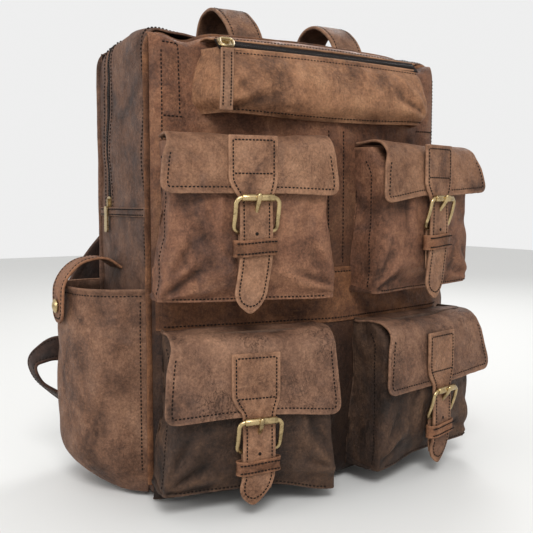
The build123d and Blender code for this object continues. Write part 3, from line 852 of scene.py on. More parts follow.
def coil(name, shape, places, lift):
    """The interlocked teeth of a zip, as one row of short bars across its line."""
    parts = []
    half, sides = 2.1, 6
    for s, y in places:
        ends = np.array([(s, y - half), (s, y - half * 0.6), (s, y + half * 0.6), (s, y + half)])
        line = shape(ends[:, 0], ends[:, 1], lift)
        parts.append(tube(line, [0.35, 0.75, 0.75, 0.35], sides, up=(0.3, 0.5, 1)))
    points, faces = merge(parts)
    obj = make_mesh(name, points, faces, M["coil"])
    assign(obj, "bag", "zip_tape")
    return obj


def over(shape):
    """A piece's surface, lifted as far as its stitches stand off it."""
    return lambda u, v: shape(u, v, 0.05)


def brass_piece(name, points, faces, body, *nodes):
    assign(make_mesh(name, points, faces, M["brass"]), body, "brass", *nodes)


# ---------------------------------------------------------------- flap pockets

def crease_field(across, up, folds):
    """Sharp leather folds: each is (across, up) start, end, height and half-width."""
    total = np.zeros(np.broadcast(across, up).shape)
    for start, end, height, width in folds:
        a, b = np.array(start, float), np.array(end, float)
        length = np.linalg.norm(b - a)
        axis = (b - a) / length
        du, dv = across - a[0], up - a[1]
        along = (du * axis[0] + dv * axis[1]) / length
        offset = (-du * axis[1] + dv * axis[0]) + 2.2 * np.sin(along * 3.1 + a[0] * 0.2)
        spread = width * (0.35 + 0.65 * np.clip(along, 0, 1))
        fade = smooth(along, -0.05, 0.10) * smooth(-along, -1.05, -0.45)
        ridge = np.exp(-(offset / spread) ** 2) - 0.75 * np.exp(-((offset
                                                                   + 1.5 * spread) / (0.8 * spread)) ** 2)
        total = total + height * fade * ridge
    return total


FOLDS = {
    "upper_left": [((-76, 178), (-34, 222), 5.5, 8.0), ((-76, 178), (-50, 240), 4.2, 6.5),
                   ((-75, 177), (-8, 186), 3.2, 6.0),
                   ((76, 178), (46, 232), -4.0, 7.0), ((76, 180), (24, 196), 4.4, 6.0),
                   ((76, 178), (58, 214), 3.2, 4.5),
                   ((-24, 262), (-30, 214), 2.6, 7.0), ((50, 262), (40, 220), -1.8, 8.0)],
    "upper_right": [((-76, 178), (-30, 206), 4.5, 8.0), ((-76, 180), (-58, 236), 3.8, 6.0),
                    ((76, 178), (40, 214), 5.0, 7.5),
                    ((76, 178), (20, 190), 3.0, 6.0), ((-30, 262), (-22, 208), 2.8, 8.0)],
    "lower_left": [((-76, 24), (-36, 62), 5.0, 8.0), ((-76, 24), (-58, 78), 4.0, 6.0),
                   ((-75, 23), (-14, 34), 3.4, 6.5),
                   ((76, 24), (40, 66), 5.0, 8.0), ((76, 26), (30, 38), 4.0, 6.0),
                   ((46, 86), (52, 48), -2.6, 7.0)],
    "lower_right": [((-76, 24), (-40, 54), 5.0, 8.0), ((-76, 26), (-56, 80), 3.6, 6.0),
                    ((76, 24), (44, 72), 5.5, 8.0),
                    ((76, 24), (26, 36), 3.4, 6.0), ((-20, 86), (-30, 46), 2.6, 8.0)],
}


def pocket_shape(row, side, folds, seed, drops, ears):
    """A flap pocket's outer surface: a runs round from one side wall to the other, b from the top down."""
    depth = row["out"] - 8.5
    top, floor = row["crease"] - 4.5, row["floor"]
    tall = top - floor

    def shape(a, b, lift=0.0):
        a, b = same_size(a, b)
        down = np.clip(b / tall, 0, 1)
        under = np.clip(b - tall, 0, None)
        half = 68 + np.where(a < 0, ears[0], ears[1]) * smooth(down, 0.25, 1.0) - 2.5 * bell(down - 0.45, 0.2)
        turn = 9.0 - 5.0 * smooth(down, 0.75, 1)
        sign = np.sign(a)
        reach = np.abs(a)
        front_part = np.minimum(reach, half - turn)
        wall_part = np.clip(reach - (half - turn) - turn * 1.5708, 0, None)
        bend = np.clip((reach - (half - turn)) / (turn * 1.5708), 0, 1) * (math.pi / 2)
        middle = 1 - (front_part / half) ** 2
        belly = 3.6 * np.sin(np.pi * np.clip(down, 0, 1) ** 1.1) * middle
        tuck = -9.0 * smooth(down, 0.80, 1.0) * (0.35 + 0.65 * middle)
        near = depth + belly + tuck - 13.0 * (1 - smooth(b, -3, 26))
        out = near - turn + turn * np.cos(bend) - wall_part
        across = sign * (front_part + turn * np.sin(bend))
        squeeze = np.clip(1 - under / 30.0, 0, 1)
        out = np.where(under > 0, out * squeeze, out)
        sagging = 2.5 * middle * smooth(down, 0.7, 1.0)
        ends = drops[0] * smooth(-a, 15, 72) + drops[1] * smooth(a, 15, 72)
        sagging = sagging + ends * smooth(down, 0.5, 1.0)
        up = top - np.minimum(b, tall) - sagging + under * 0.16
        flat = stack(across + side * 300, out, up)
        on_front = smooth(-reach, -(half + 4), -(half - turn - 2)) * smooth(-under, -6, 0)
        relief = crease_field(across, up, folds) * on_front
        soft = 1.5 * layered(flat, 34, seed) + 0.55 * layered(flat, 11, seed + 4)
        guard = 1 - 0.75 * bell(across, 17) * smooth(down, 0.1, 0.3)
        bump = (np.clip(relief, -4.5, 5.5) * 0.8 + soft) * smooth(down, 0.0, 0.08) * guard
        bump = bump + lift
        push_out = np.cos(bend) * bump
        push_side = np.sin(bend) * bump * sign
        out = np.maximum(out + push_out * np.where(under > 0, squeeze, 1), 0.2)
        return column(side, stack(across + push_side, out, up)), relief + soft
    return shape, tall


def build_pocket(row_name, col_name):
    row, side = ROWS[row_name], COLUMNS[col_name]
    key = f"{row_name}_{col_name}"
    seed = 40 + 7 * len(key) + side
    shape, tall = pocket_shape(row, side, FOLDS[key], seed, FLOOR_DROPS[key], EARS[key])
    reach = 75 + row["out"] - 8.5 + 2
    aa = -reach + spaced(2 * reach, 2.6)
    bb = np.concatenate([spaced(tall, 2.6), tall + np.array([3, 7, 12, 18, 24, 30])])
    a, b = np.meshgrid(aa, bb)
    grid, relief = shape(a, b)
    wear = bell(b, 1.6) + 0.8 * bell(b - tall, 2.2)
    # The lower pockets take the darker copy of the pocket leather: painted shade
    material = M["pocket"] if row_name == "upper" else M["pocket_shaded"]
    piece = shell(f"pocket_{key}_leather", grid, 1.9, material, -1, wear=np.clip(wear, 0, 1),
                  relief=np.clip(relief / 4, -1, 1), stretch=grid + np.array(HIDE_SHIFT[key]))
    assign(piece, "bag", "leather_pocket", f"pocket_{key}")
    plain = lambda u, v: shape(u, v, 0.1)[0]
    lines = lines_on(plain, [[(s * 79.5, 12), (s * 82.5, tall - 5)] for s in (-1, 1)], sign=-1)
    lines += lines_on(plain, [[(-66, tall - 2.6), (66, tall - 2.6)]], sign=-1)
    stitches(f"pocket_{key}_stitches", lines, M["thread"], "bag")


def flap_shape(row, side, seed, key):
    out, crease, edge = row["out"], row["crease"], row["edge"]
    seam_drop, left_drop, middle_drop, right_drop = FLAP_DROPS[key]
    route = Route([(2.2, crease + 1.6), (out - 2.5, crease + 0.8), (out + 0.6, edge)], 21.0)
    bend_at = out - 8

    def shape(a, b, lift=0.0):
        a, b = same_size(a, b)
        place, along = route.at(b), route.direction(b)
        normal = stack(-along[..., 1], along[..., 0])
        hang = smooth(b, bend_at, bend_at + 20)
        wide = np.abs(a) / 75
        flare = smooth(side * a, 10, 75) * hang
        droop = -3.0 * wide ** 2.4 * hang * (1 - flare) + 5.0 * flare * smooth(b, bend_at + 5, route.length)
        flat = stack(a + side * 200, b * 0, b)
        soft = (0.9 * layered(flat, 38, seed) + 0.35 * layered(flat, 12, seed + 3)) * (1 - bell(a, 18))
        ends = np.minimum(75 - np.abs(a), route.length - b)
        press = -0.4 * bell(ends - 5.0, 1.1)
        wave = 1.3 * np.sin(a / 19.0 + seed) * smooth(b, bend_at + 15, route.length) * (1 - bell(a, 20))
        sag = 1.2 * np.cos(a / 24.0) * smooth(b, 4, 16) * smooth(-b, -bend_at, -bend_at + 14)
        off = droop + soft + press + lift + wave * 0.6 - sag
        low = middle_drop + (left_drop - middle_drop) * smooth(-a, 12, 76)
        low = low + (right_drop - middle_drop) * smooth(a, 12, 76)
        fall = seam_drop + (low - seam_drop) * smooth(b, bend_at - 12, route.length - 4)
        across = a * (1 + 0.035 * flare)
        up = place[..., 1] + normal[..., 1] * off - fall
        return column(side, stack(across, place[..., 0] + normal[..., 0] * off, up)), soft + wave
    return shape, route.length


def flap_half(b, length, top_half=69.0, edge_half=74.5, corner=9.0):
    half = top_half + (edge_half - top_half) * smooth(b, length * 0.35, length)
    near = np.clip(corner - (length - b), 0, corner)
    return half - (corner - np.sqrt(np.maximum(corner ** 2 - near ** 2, 0)))


def build_flap(row_name, col_name):
    row, side = ROWS[row_name], COLUMNS[col_name]
    key = f"{row_name}_{col_name}"
    seed = 70 + 5 * len(key) + side
    shape, length = flap_shape(row, side, seed, key)
    bb = spaced(length, 2.4)
    share = spaced(150, 2.8) / 150 * 2 - 1
    half = flap_half(bb, length)
    a = share[None, :] * half[:, None]
    b = np.repeat(bb[:, None], len(share), axis=1)
    grid, relief = shape(a, b)
    edge = np.minimum(half[:, None] - np.abs(a), length - b)
    wear = bell(edge, 2.0) + 0.35 * bell(b - row["out"] - 1, 7)
    material = M["flap"] if row_name == "upper" else M["flap_low"]
    piece = shell(f"flap_{key}_leather", grid, 2.3, material, -1, wear=np.clip(wear, 0, 1),
                  relief=np.clip(relief / 3, -0.6, 1), stretch=grid + np.array(HIDE_SHIFT[key]))
    top_body, front_body = f"flap_top_{key}_body", f"flap_{key}_body"
    out, crease = row["out"], row["crease"]
    start = Vector(world(column(side, np.array([0, out - 9.0, crease + 1.0]))))
    end = Vector(world(column(side, np.array([0, out + 1.0, crease - 9.0]))))
    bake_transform(piece)
    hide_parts(f"flap_{key}", f"flap_top_{key}")

    inset = 5.0
    left = [(-(flap_half(v, length) - inset), v) for v in np.linspace(out + 4, length - inset, 12)]
    path = left + [(-a_, b_) for a_, b_ in reversed(left)]
    plain = lambda u, v: shape(u, v, 0.05)[0]
    lines = lines_on(plain, [path], sign=-1)
    stitches(f"flap_{key}_stitches", lines, M["thread"], front_body)


# ---------------------------------------------------------------- closures

def strap_outline(row):
    """Half-widths of a closure strap on each side and its drift, by height."""
    patch, tip, keeper = row["patch"], row["tip"], row["keeper"]

    def half(z, top_half):
        wide = 13.75 + (top_half - 13.75) * smooth(z, patch - 52, patch - 33)
        point = np.clip((z - tip) / 18.0, 0, 1)
        return wide * np.clip(1 - (1 - point) ** 1.9, 0, 1) ** 0.8

    def drift(z):
        return -5.0 * smooth(-z, -keeper, -(tip + 4))
    return half, drift


def build_strap(row_name, col_name):
    row, side = ROWS[row_name], COLUMNS[col_name]
    key = f"{row_name}_{col_name}"
    body = f"flap_{key}_body"
    out = row["out"]
    route = Route([(out + 3.3, row["patch"]), (out + 3.3, row["edge"]), (out + 3.0, row["roller"]),
                   (out + 3.5, row["heel"]), (out + 3.0, row["keeper"] + 4), (out + 1.6, row["keeper"] - 16),
                   (out + 1.2, row["tip"])], 9.0)
    half, drift = strap_outline(row)
    length = route.length

    def shape(a, b, lift=0.0):
        a, b = same_size(a, b)
        place, along = route.at(b), route.direction(b)
        normal = stack(-along[..., 1], along[..., 0])
        z = place[..., 1]
        edge = half(z, 20) - np.abs(a - drift(z))
        flat = stack(a + side * 90, b * 0, z)
        soft = 0.25 * layered(flat, 16, 90 + side)
        off = soft - 0.35 * bell(edge - 3.2, 0.9) - 0.5 * bell(edge, 1.0) + lift
        loose = smooth(-z, -(row["keeper"] - 2), -(row["tip"] + 10))
        off = off + loose * (1.1 - 0.03 * (a - drift(z)) ** 2 * 0.2)
        return column(side, stack(a, place[..., 0] + normal[..., 0] * off, z + normal[..., 1] * off))

    bb = spaced(length - 0.4, 2.2)
    share = spaced(28, 2.0) / 28
    z = route.at(bb)[:, 1]
    left, right = drift(z) - half(z, 22.5), drift(z) + half(z, 17.5)
    a = left[:, None] + (right - left)[:, None] * share[None, :]
    b = np.repeat(bb[:, None], len(share), axis=1)
    edge = np.minimum(a - left[:, None], right[:, None] - a)
    wear = np.clip(bell(edge, 1.4) + 0.3 * bell(b, 2), 0, 1)
    piece = shell(f"strap_{key}_leather", shape(a, b), 2.7, M["strap"], -1, wear=wear)
    assign(piece, body, "leather_strap", f"strap_{key}")

    def side_line(sign, inset=3.2):
        vs = np.linspace(inset, length - 9, 26)
        zs = route.at(vs)[:, 1]
        width = half(zs, 22.5 if sign < 0 else 17.5)
        reach = np.maximum(width - inset * (1 + 0.25 * smooth(-zs, -(row["tip"] + 22), -row["tip"])), 0.2)
        return [(float(drift(w) + sign * r), float(v)) for w, r, v in zip(zs, reach, vs)]
    left_line, right_line = side_line(-1), side_line(1)
    whole = left_line + [(float(drift(row["tip"])), length - 5.4)] + right_line[::-1]
    cross_b = float(np.interp(-row["cross"], -route.line[:, 1], route.along))
    plain = over(shape)
    cross = [[(-18.5, cross_b), (13.5, cross_b)], [(-18.5, 3.4), (13.5, 3.4)]]
    stitches(f"strap_{key}_stitches", lines_on(plain, [whole] + cross, sign=-1), M["thread"], body, pitch=2.9)

    # The punched hole under the prong, as a dark disc set into the strap: painted shade in place of the hole's
    # shadowed inside
    hole_b, r, n = float(np.interp(1.5 - row["heel"], -route.line[:, 1], route.along)), 1.5, 14
    around = np.linspace(0, 2 * np.pi, n, endpoint=False)
    ring = np.array([shape(r * math.cos(t), hole_b + r * math.sin(t), -0.5) for t in around])
    core = np.array([shape(r * 0.9 * math.cos(t), hole_b + r * 0.9 * math.sin(t), 0.3) for t in around])
    points = np.concatenate([ring, core, shape(0.0, hole_b, 0.3)[None]])
    faces = [(i, (i + 1) % n, n + (i + 1) % n, n + i) for i in range(n)]
    faces += [(n + i, n + (i + 1) % n, 2 * n) for i in range(n)]
    hole_shade_disc = make_mesh(f"strap_{key}_hole", points, faces, M["thread"])
    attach(hole_shade_disc, body)


def build_keeper(row_name, col_name):
    row, side = ROWS[row_name], COLUMNS[col_name]
    key = f"{row_name}_{col_name}"
    body = f"flap_{key}_body"
    out, low, tall = row["out"], row["keeper"], row["keeper_h"]
    corners = [(0, out + 5.3), (12, out + 5.5), (19.0, out + 2.6), (19.0, out - 3.2), (12, out - 5.9),
               (0, out - 6.0)]
    loop = corners + [(-x, y) for x, y in reversed(corners[1:-1])]
    ring = Route(loop + [loop[0]], 3.4)
    ds = np.linspace(0, ring.length, 72, endpoint=False)
    zs = low + spaced(tall, 2.0)
    d, z = np.meshgrid(ds, zs)
    place = ring.at(d)
    flat = stack(place[..., 0], place[..., 1], z)
    squeeze = 1 - 0.04 * np.sin((z - low) / tall * np.pi)
    tilt = 0.8 * np.sin(place[..., 0] / 9.0)
    grid = column(side, stack(place[..., 0] * squeeze, place[..., 1] + 0.25 * layered(flat, 9, 33), z + tilt))
    wear = np.maximum(bell(z - low, 1.3), bell(low + tall - z, 1.3))
    piece = shell(f"keeper_{key}_loop", grid, 1.8, M["keeper"], 1, close=True, wear=wear)
    assign(piece, body, "leather_strap")

    front = Route([(-17, out + 4.9), (-12, out + 5.5), (12, out + 5.5), (17, out + 4.9)], 4)
    across = np.linspace(0, front.length, 40)
    lines = []
    for height in (low + 2.4, low + tall - 2.4):
        at = front.at(across)
        points = column(side, stack(at[:, 0], at[:, 1] + 0.12, height + 0.8 * np.sin(at[:, 0] / 9.0)))
        lines.append((points, np.tile(facing(side), (40, 1))))
    stitches(f"keeper_{key}_stitches", lines, M["thread"], body, pitch=2.8)

    # The tab behind the strap, folded round the heel bar
    back = out - 4.9
    tab_low = row["snap"] - 8
    route = Route([(out - 3.0, tab_low), (out - 3.0, row["heel"] - 3), (out - 0.2, row["heel"] + 0.6),
                   (out - 2.2, row["heel"] + 2.9), (back, row["heel"] - 1), (back, row["heel"] - 8)], 3)
    bs = spaced(route.length, 2.0, fine=False)
    aa = np.linspace(-13, 13, 9)
    a, b = np.meshgrid(aa, bs)
    place = route.at(b)
    narrow = 1 - 0.06 * smooth(-b, -9, 0)
    grid = column(side, stack(a * narrow, place[..., 0], place[..., 1]))
    wear = bell(13 - np.abs(a), 1.2)
    tab = shell(f"keeper_{key}_tab", grid, 1.5, M["strap"], 1, wear=wear)
    assign(tab, body, "leather_strap")
    points, faces = disc(column(side, np.array([0, out - 5.1, row["snap"]])), side, 5.5, 1.0)
    brass_piece(f"keeper_{key}_snap", points, faces, body)
    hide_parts(f"keeper_{key}")


def disc(centre, side, radius, height, bulge=0.0, axis=None):
    """A turned disc with a rounded rim, facing out of a column or along axis."""
    if axis is None:
        axis = facing(side)
    axis = unit(np.array(axis, float))
    u = unit(np.cross(axis, [0, 0, 1]))
    v = np.cross(axis, u)
    profile = [(0.0, -0.5), (0.8, -0.5), (1.0, -0.3), (1.0, 0.2), (0.92, 0.42), (0.7, 0.5 + bulge * 0.4),
               (0.4, 0.5 + bulge * 0.8), (0.0, 0.5 + bulge)]
    angle = np.linspace(0, 2 * np.pi, 28, endpoint=False)
    rows = [centre + axis * h * height + radius * r * (np.cos(angle)[:, None] * u + np.sin(angle)[:, None] * v)
            for r, h in profile]
    return np.concatenate(rows), grid_faces(len(profile), len(angle), True)


def build_buckle(row_name, col_name):
    row, side = ROWS[row_name], COLUMNS[col_name]
    key = f"{row_name}_{col_name}"
    out, roller, heel = row["out"], row["roller"], row["heel"]
    lean = np.array([0, 6.35 + 2.2, roller - heel])
    tall = np.linalg.norm(lean)
    up = lean / tall
    half, corner = 17.9, 5.2
    pts = []
    for cx, cz, first in ((half - corner, tall - corner, 0), (-half + corner, tall - corner, 90),
                          (-half + corner, corner, 180), (half - corner, corner, 270)):
        for t in np.radians(np.linspace(first, first + 90, 8)):
            pts.append((cx + corner * math.cos(t), cz + corner * math.sin(t)))
    full = []
    for k, (x, z) in enumerate(pts):
        nx, nz = pts[(k + 1) % len(pts)]
        steps = max(1, int(math.hypot(nx - x, nz - z) / 3))
        full += [(x + (nx - x) * t / steps, z + (nz - z) * t / steps) for t in range(steps)]
    full = np.array(full)
    bow = 1.1 * np.sin(full[:, 1] / tall * np.pi)
    line = stack(full[:, 0], out - 2.2 + up[1] * full[:, 1] + bow, heel + up[2] * full[:, 1])
    on_bar = (np.abs(full[:, 0]) < half - corner) & ((full[:, 1] > tall - 1) | (full[:, 1] < 1))
    radii = np.where(on_bar, 1.6, 1.95)
    centre = column(side, line)
    forward = facing(side)
    points, faces = tube(centre, radii, 14, squash=0.82, up=forward, close=True)
    frame_piece = make_mesh(f"buckle_{key}_frame", points, faces, M["brass"], subdivide=1)
    assign(frame_piece, f"flap_{key}_body", "brass", f"buckle_{key}")

    # The roller: a round tube with turned-in ends
    rolls = [(-13.5, 2.0), (-13.4, 2.7), (-12.9, 3.0), (-6, 3.02), (0, 3.03), (6, 3.02), (12.9, 3.0),
             (13.4, 2.7), (13.5, 2.0)]
    axis = np.array([column(side, np.array([x, out + 6.35, roller])) for x, _ in rolls])
    points, faces = tube(axis, [r for _, r in rolls], 24, up=(0, 0, 1))
    brass_piece(f"roller_{key}_barrel", points, faces, f"roller_{key}_body", f"roller_{key}")

    lift = roller - heel - 27
    steps = Route([(0, -2.2, 2.2), (0, -1.2, 12.0 + lift), (0, 9.2, 25.8 + lift), (0, 10.8, 30.4 + lift)], 3.0)
    d = np.linspace(0, steps.length, 24)
    place = steps.at(d)
    line = column(side, stack(place[:, 0], out + place[:, 1], heel + place[:, 2]))
    radii = 1.6 + 0.3 * smooth(d, steps.length * 0.4, steps.length * 0.7)
    radii[-1] = 1.1
    pin = tube(line, radii, 12, up=(1, 0, 0), squash=1.15)
    around = np.linspace(0, 2 * np.pi, 20, endpoint=False)
    eye_line = column(side, stack(np.zeros(20), out - 2.2 + 2.15 * np.cos(around),
                                  heel + 2.15 * np.sin(around)))
    eye = tube(eye_line, 0.4, 8, up=(1, 0, 0), squash=3.4, close=True)
    points, faces = merge([pin, eye])
    brass_piece(f"prong_{key}_pin", points, faces, f"prong_{key}_body", f"prong_{key}")


# ---------------------------------------------------------------- top pocket

TOP_MIDDLE = -7.5
TOP_FOLDS = [((-110, 330), (-58, 352), 4.0, 7.0), ((-108, 331), (-88, 366), 3.0, 5.0),
             ((108, 330), (60, 346), 4.2, 7.0), ((108, 331), (92, 362), 3.4, 5.0),
             ((-30, 372), (-44, 336), 2.2, 10.0), ((40, 374), (28, 338), 2.0, 9.0),
             ((78, 372), (84, 344), 2.4, 8.0), ((-60, 330), (30, 334), 2.4, 6.0)]


def top_pocket_shape(seed=61):
    top, floor = 381.0, 327.0
    tall = top - floor

    def shape(a, b, lift=0.0):
        a, b = same_size(a, b)
        down = np.clip(b / tall, 0, 1)
        under = np.clip(b - tall, 0, None)
        half = 106 + 5.0 * smooth(down, 0.0, 0.6) - 5.0 * smooth(down, 0.8, 1.0)
        turn = 6.0 + 6.0 * smooth(down, 0.1, 0.6) - 5.0 * smooth(down, 0.85, 1.0)
        sign, reach = np.sign(a), np.abs(a)
        front_part = np.minimum(reach, half - turn)
        wall_part = np.clip(reach - (half - turn) - turn * 1.5708, 0, None)
        bend = np.clip((reach - (half - turn)) / (turn * 1.5708), 0, 1) * (math.pi / 2)
        middle = np.clip(1 - (front_part / half) ** 2, 0, 1)
        near = 39.5 + 17.5 * np.sin(np.clip(down * 1.15, 0, 1) * np.pi / 2)
        near = near + 3.5 * middle ** 0.5 * np.sin(np.pi * down) - 8.0 * smooth(down, 0.78, 1.0)
        near = near - 5.0 * (1 - smooth(middle, 0.0, 0.35)) * smooth(down, 0.1, 0.5)
        out = near - turn + turn * np.cos(bend) - wall_part
        across = sign * (front_part + turn * np.sin(bend) + 0.42 * wall_part)
        up = top - np.minimum(b, tall) - 3.0 * middle * smooth(down, 0.6, 1.0) + under * 0.1
        up = up - 1.5 * (1 - down) * (1 - middle)
        out = out - np.where(under > 0, under * 0.9, 0)
        flat = stack(across, out, up)
        on_front = smooth(-reach, -(half + 3), -(half - turn - 2)) * smooth(-under, -4, 0)
        relief = crease_field(across, up, TOP_FOLDS) * on_front
        soft = 1.3 * layered(flat, 30, seed) + 0.5 * layered(flat, 10, seed + 2)
        bump = (np.clip(relief, -3.5, 4.0) * 0.75 + soft) * smooth(down, 0.05, 0.22)
        bump = bump + lift + 0.6 * bell(b - 1.2, 1.2) - 0.5 * bell(b - 5.0, 1.1)
        out = out + np.cos(bend) * bump
        across = across + sign * np.sin(bend) * bump
        return stack(TOP_MIDDLE + across, -out, up), relief + soft
    return shape, tall


def top_lip(x, t, lift=0.0):
    """The leather above the top zip, from the front panel forwards."""
    x, t = same_size(x, t)
    share = (x - TOP_MIDDLE) / 115.0
    back_y = front_face_y(x, 388.0) * 0.75 - 1.0
    start = stack(x, np.maximum(back_y, -24.0), 391.0 - 4.0 * share ** 2)
    end = stack(x - share * 2, np.full(x.shape, -31.8), 388.4 - 1.5 * share ** 2)
    t = t / 12.0
    swell = 1.2 * np.sin(np.pi * np.clip(t, 0, 1)) + 0.5 * layered(start, 24, 71) * np.sin(np.pi * t)
    return start * (1 - t[..., None]) + end * t[..., None] + (swell + lift)[...,
                                                                            None] * np.array([0, -0.2, 0.98])


def build_top_pocket():
    shape, tall = top_pocket_shape()
    reach = 112 + 38
    bb = np.concatenate([spaced(tall, 2.4), tall + np.array([3, 8, 14, 20])])
    a, b = np.meshgrid(-reach + spaced(2 * reach, 2.8), bb)
    grid, relief = shape(a, b)
    wear = np.clip(bell(b, 1.6) + 0.6 * bell(b - tall, 2.0), 0, 1)
    piece = shell("top_pocket_leather", grid, 1.9, M["top"], -1, wear=wear, relief=np.clip(relief / 3.5, -1, 1))
    assign(piece, "bag", "leather_top_pocket", "top_pocket")

    x, t = np.meshgrid(TOP_MIDDLE - 112 + spaced(224, 3.0), spaced(12, 1.5))
    lip = shell("top_pocket_lip", top_lip(x, t), 1.9, M["top"], -1, wear=bell(12 - t, 1.4))
    assign(lip, "bag", "leather_top_pocket")

    plain = lambda u, v: shape(u, v, 0.05)[0]
    lines = lines_on(plain, [[(-103, 5.0), (103, 5.0)], [(-108, tall - 3), (108, tall - 3)]], sign=-1)
    ends = [(TOP_MIDDLE - 106, 9.2), (TOP_MIDDLE + 106, 9.2)]
    lines += lines_on(lambda u, v: top_lip(u, v, 0.05), [ends], sign=-1)
    stitches("top_pocket_stitches", lines, M["thread"], "bag")

    def zip_plane(x, t, lift=0.0):
        x, t = same_size(x, t)
        tilt = math.sqrt(0.5)
        return stack(x, -37.0 - t * tilt - lift * tilt, 382.0 - t * tilt + lift * tilt)
    x, t = np.meshgrid(np.linspace(-114, 98, 71), np.linspace(-6.5, 6.5, 7))
    tape = shell("top_zip_tape_cloth", zip_plane(x, t), 0.9, M["tape"], -1, subdivide=0)
    assign(tape, "bag", "zip_tape", "zip_tape_top")
    coil("top_zip_coil", zip_plane, [(float(s), 0.0) for s in np.arange(-112, 97, 1.7)], 0.25)


# ---------------------------------------------------------------- side pockets

POCKET_FLOOR_Z = 4.5
SIDE_WALL_X = 159.2


def side_pocket_shape(sign, seed):
    plan = Route([(-SIDE_WALL_X, 4), (-166, 6), (-190, 16), (-208, 36), (-214, 66), (-211, 98), (-196, 118),
                  (-160, 121)], 16)
    top = 181.5

    def shape(a, b, lift=0.0):
        a, b = same_size(a, b)
        share = a / plan.length
        place, along = plan.at(a), plan.direction(a)
        out = stack(-along[..., 1], along[..., 0])
        z = top - b
        depth = -SIDE_WALL_X - place[..., 0]
        curve = np.clip((46 - z) / 42, 0, 1)
        shrink = 1 - 0.62 * curve ** 2.2
        lean = 1 - 0.05 * smooth(z, 130, 181) - 0.03 * bell(z - 170, 12)
        x = -SIDE_WALL_X - depth * shrink * lean
        y = place[..., 1] + (60 - place[..., 1]) * 0.10 * curve ** 2
        z = np.maximum(z, POCKET_FLOOR_Z)
        flat = stack(x, y, z)
        soft = 1.7 * layered(flat, 44, seed) + 0.6 * layered(flat * np.array([1, 1, 0.6]), 14, seed + 3)
        free = smooth(share, 0.0, 0.08) * smooth(-share, -1, -0.92)
        bump = soft * free + lift + 0.7 * bell(b - 1.5, 1.6) - 0.5 * bell(b - 6.0, 1.2)
        x = x + out[..., 0] * bump
        y = y + out[..., 1] * bump
        return stack(x * -sign, y, z), soft
    return shape, plan.length, top - POCKET_FLOOR_Z


def build_side_pocket(name, sign):
    shape, around, tall = side_pocket_shape(sign, 101 + sign)
    a, b = np.meshgrid(spaced(around, 3.2), spaced(tall, 3.2))
    grid, relief = shape(a, b)
    wear = bell(b, 2.0)
    piece = shell(f"side_pocket_{name}_leather", grid, 2.0, M["side"], -sign, wear=wear,
                  relief=np.clip(relief / 4, -1, 1))
    # The floor of the pocket closes it under the rounded lower edge
    rim = grid[-1]
    inner = rim.copy()
    inner[:, 0] = sign * SIDE_WALL_X
    floor_grid = np.stack([rim, rim * 0.5 + inner * 0.5, inner])
    floor_grid[..., 2] = 4.6
    floor = shell(f"side_pocket_{name}_floor", floor_grid, 1.8, M["side"], -sign)
    for p in (piece, floor):
        assign(p, "bag", "leather_pocket")
    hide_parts(f"side_pocket_{name}")
    plain = lambda u, v: shape(u, v, 0.05)[0]
    paths = [[(5, 6.0), (around - 5, 6.0)], [(7, 10), (7, tall - 20)]]
    stitches(f"side_pocket_{name}_stitches", lines_on(plain, paths, sign=-sign), M["thread"], "bag")


def build_side_tab(name, sign):
    body = f"side_tab_{name}_body"
    route = Route([(161.6, 197), (175, 207.5), (200, 204.5), (217.2, 186), (217.4, 149)], 12)
    middle, half = 70.0, 14.0
    length = route.length

    def width(b):
        point = np.clip((length - b) / 11.0, 0, 1)
        return (half + 0.8 * smooth(-b, -30, 0)) * np.sqrt(np.clip(1 - (1 - point) ** 2, 0.02, 1))

    def shape(a, b, lift=0.0):
        a, b = same_size(a, b)
        place, along = route.at(b), route.direction(b)
        normal = stack(-along[..., 1], along[..., 0])
        flat = stack(a, b, a * 0)
        off = lift + 0.4 * layered(flat, 20, 55) - 0.35 * bell(width(b) - np.abs(a) - 3.2, 0.9)
        return stack(sign * (place[..., 0] + normal[..., 0] * off), middle + a,
                     place[..., 1] + normal[..., 1] * off)
    bb = spaced(length, 2.2)
    share = spaced(26, 2.2) / 26 * 2 - 1
    a = share[None, :] * width(bb)[:, None]
    b = np.repeat(bb[:, None], len(share), axis=1)
    wear = bell(width(b) - np.abs(a), 1.4)
    piece = shell(f"side_tab_{name}_leather", shape(a, b), 2.4, M["keeper"], -sign, wear=wear)
    assign(piece, body, "leather_strap", f"side_tab_{name}")
    left = [(-(float(width(v)) - 3.2), float(v)) for v in np.linspace(14, length - 4, 14)]
    path = left + [(-a_, b_) for a_, b_ in reversed(left)]
    stitches(f"side_tab_{name}_stitches", lines_on(over(shape), [path], sign=-sign),
             M["thread"], body)
    points, faces = disc(np.array([sign * 219.0, middle, 164.0]), 0, 6.2, 2.0, bulge=0.9, axis=(sign, 0, 0))
    brass_piece(f"side_snap_{name}_cap", points, faces, body, f"side_snap_cap_{name}")


# ---------------------------------------------------------------- handles and shoulder straps

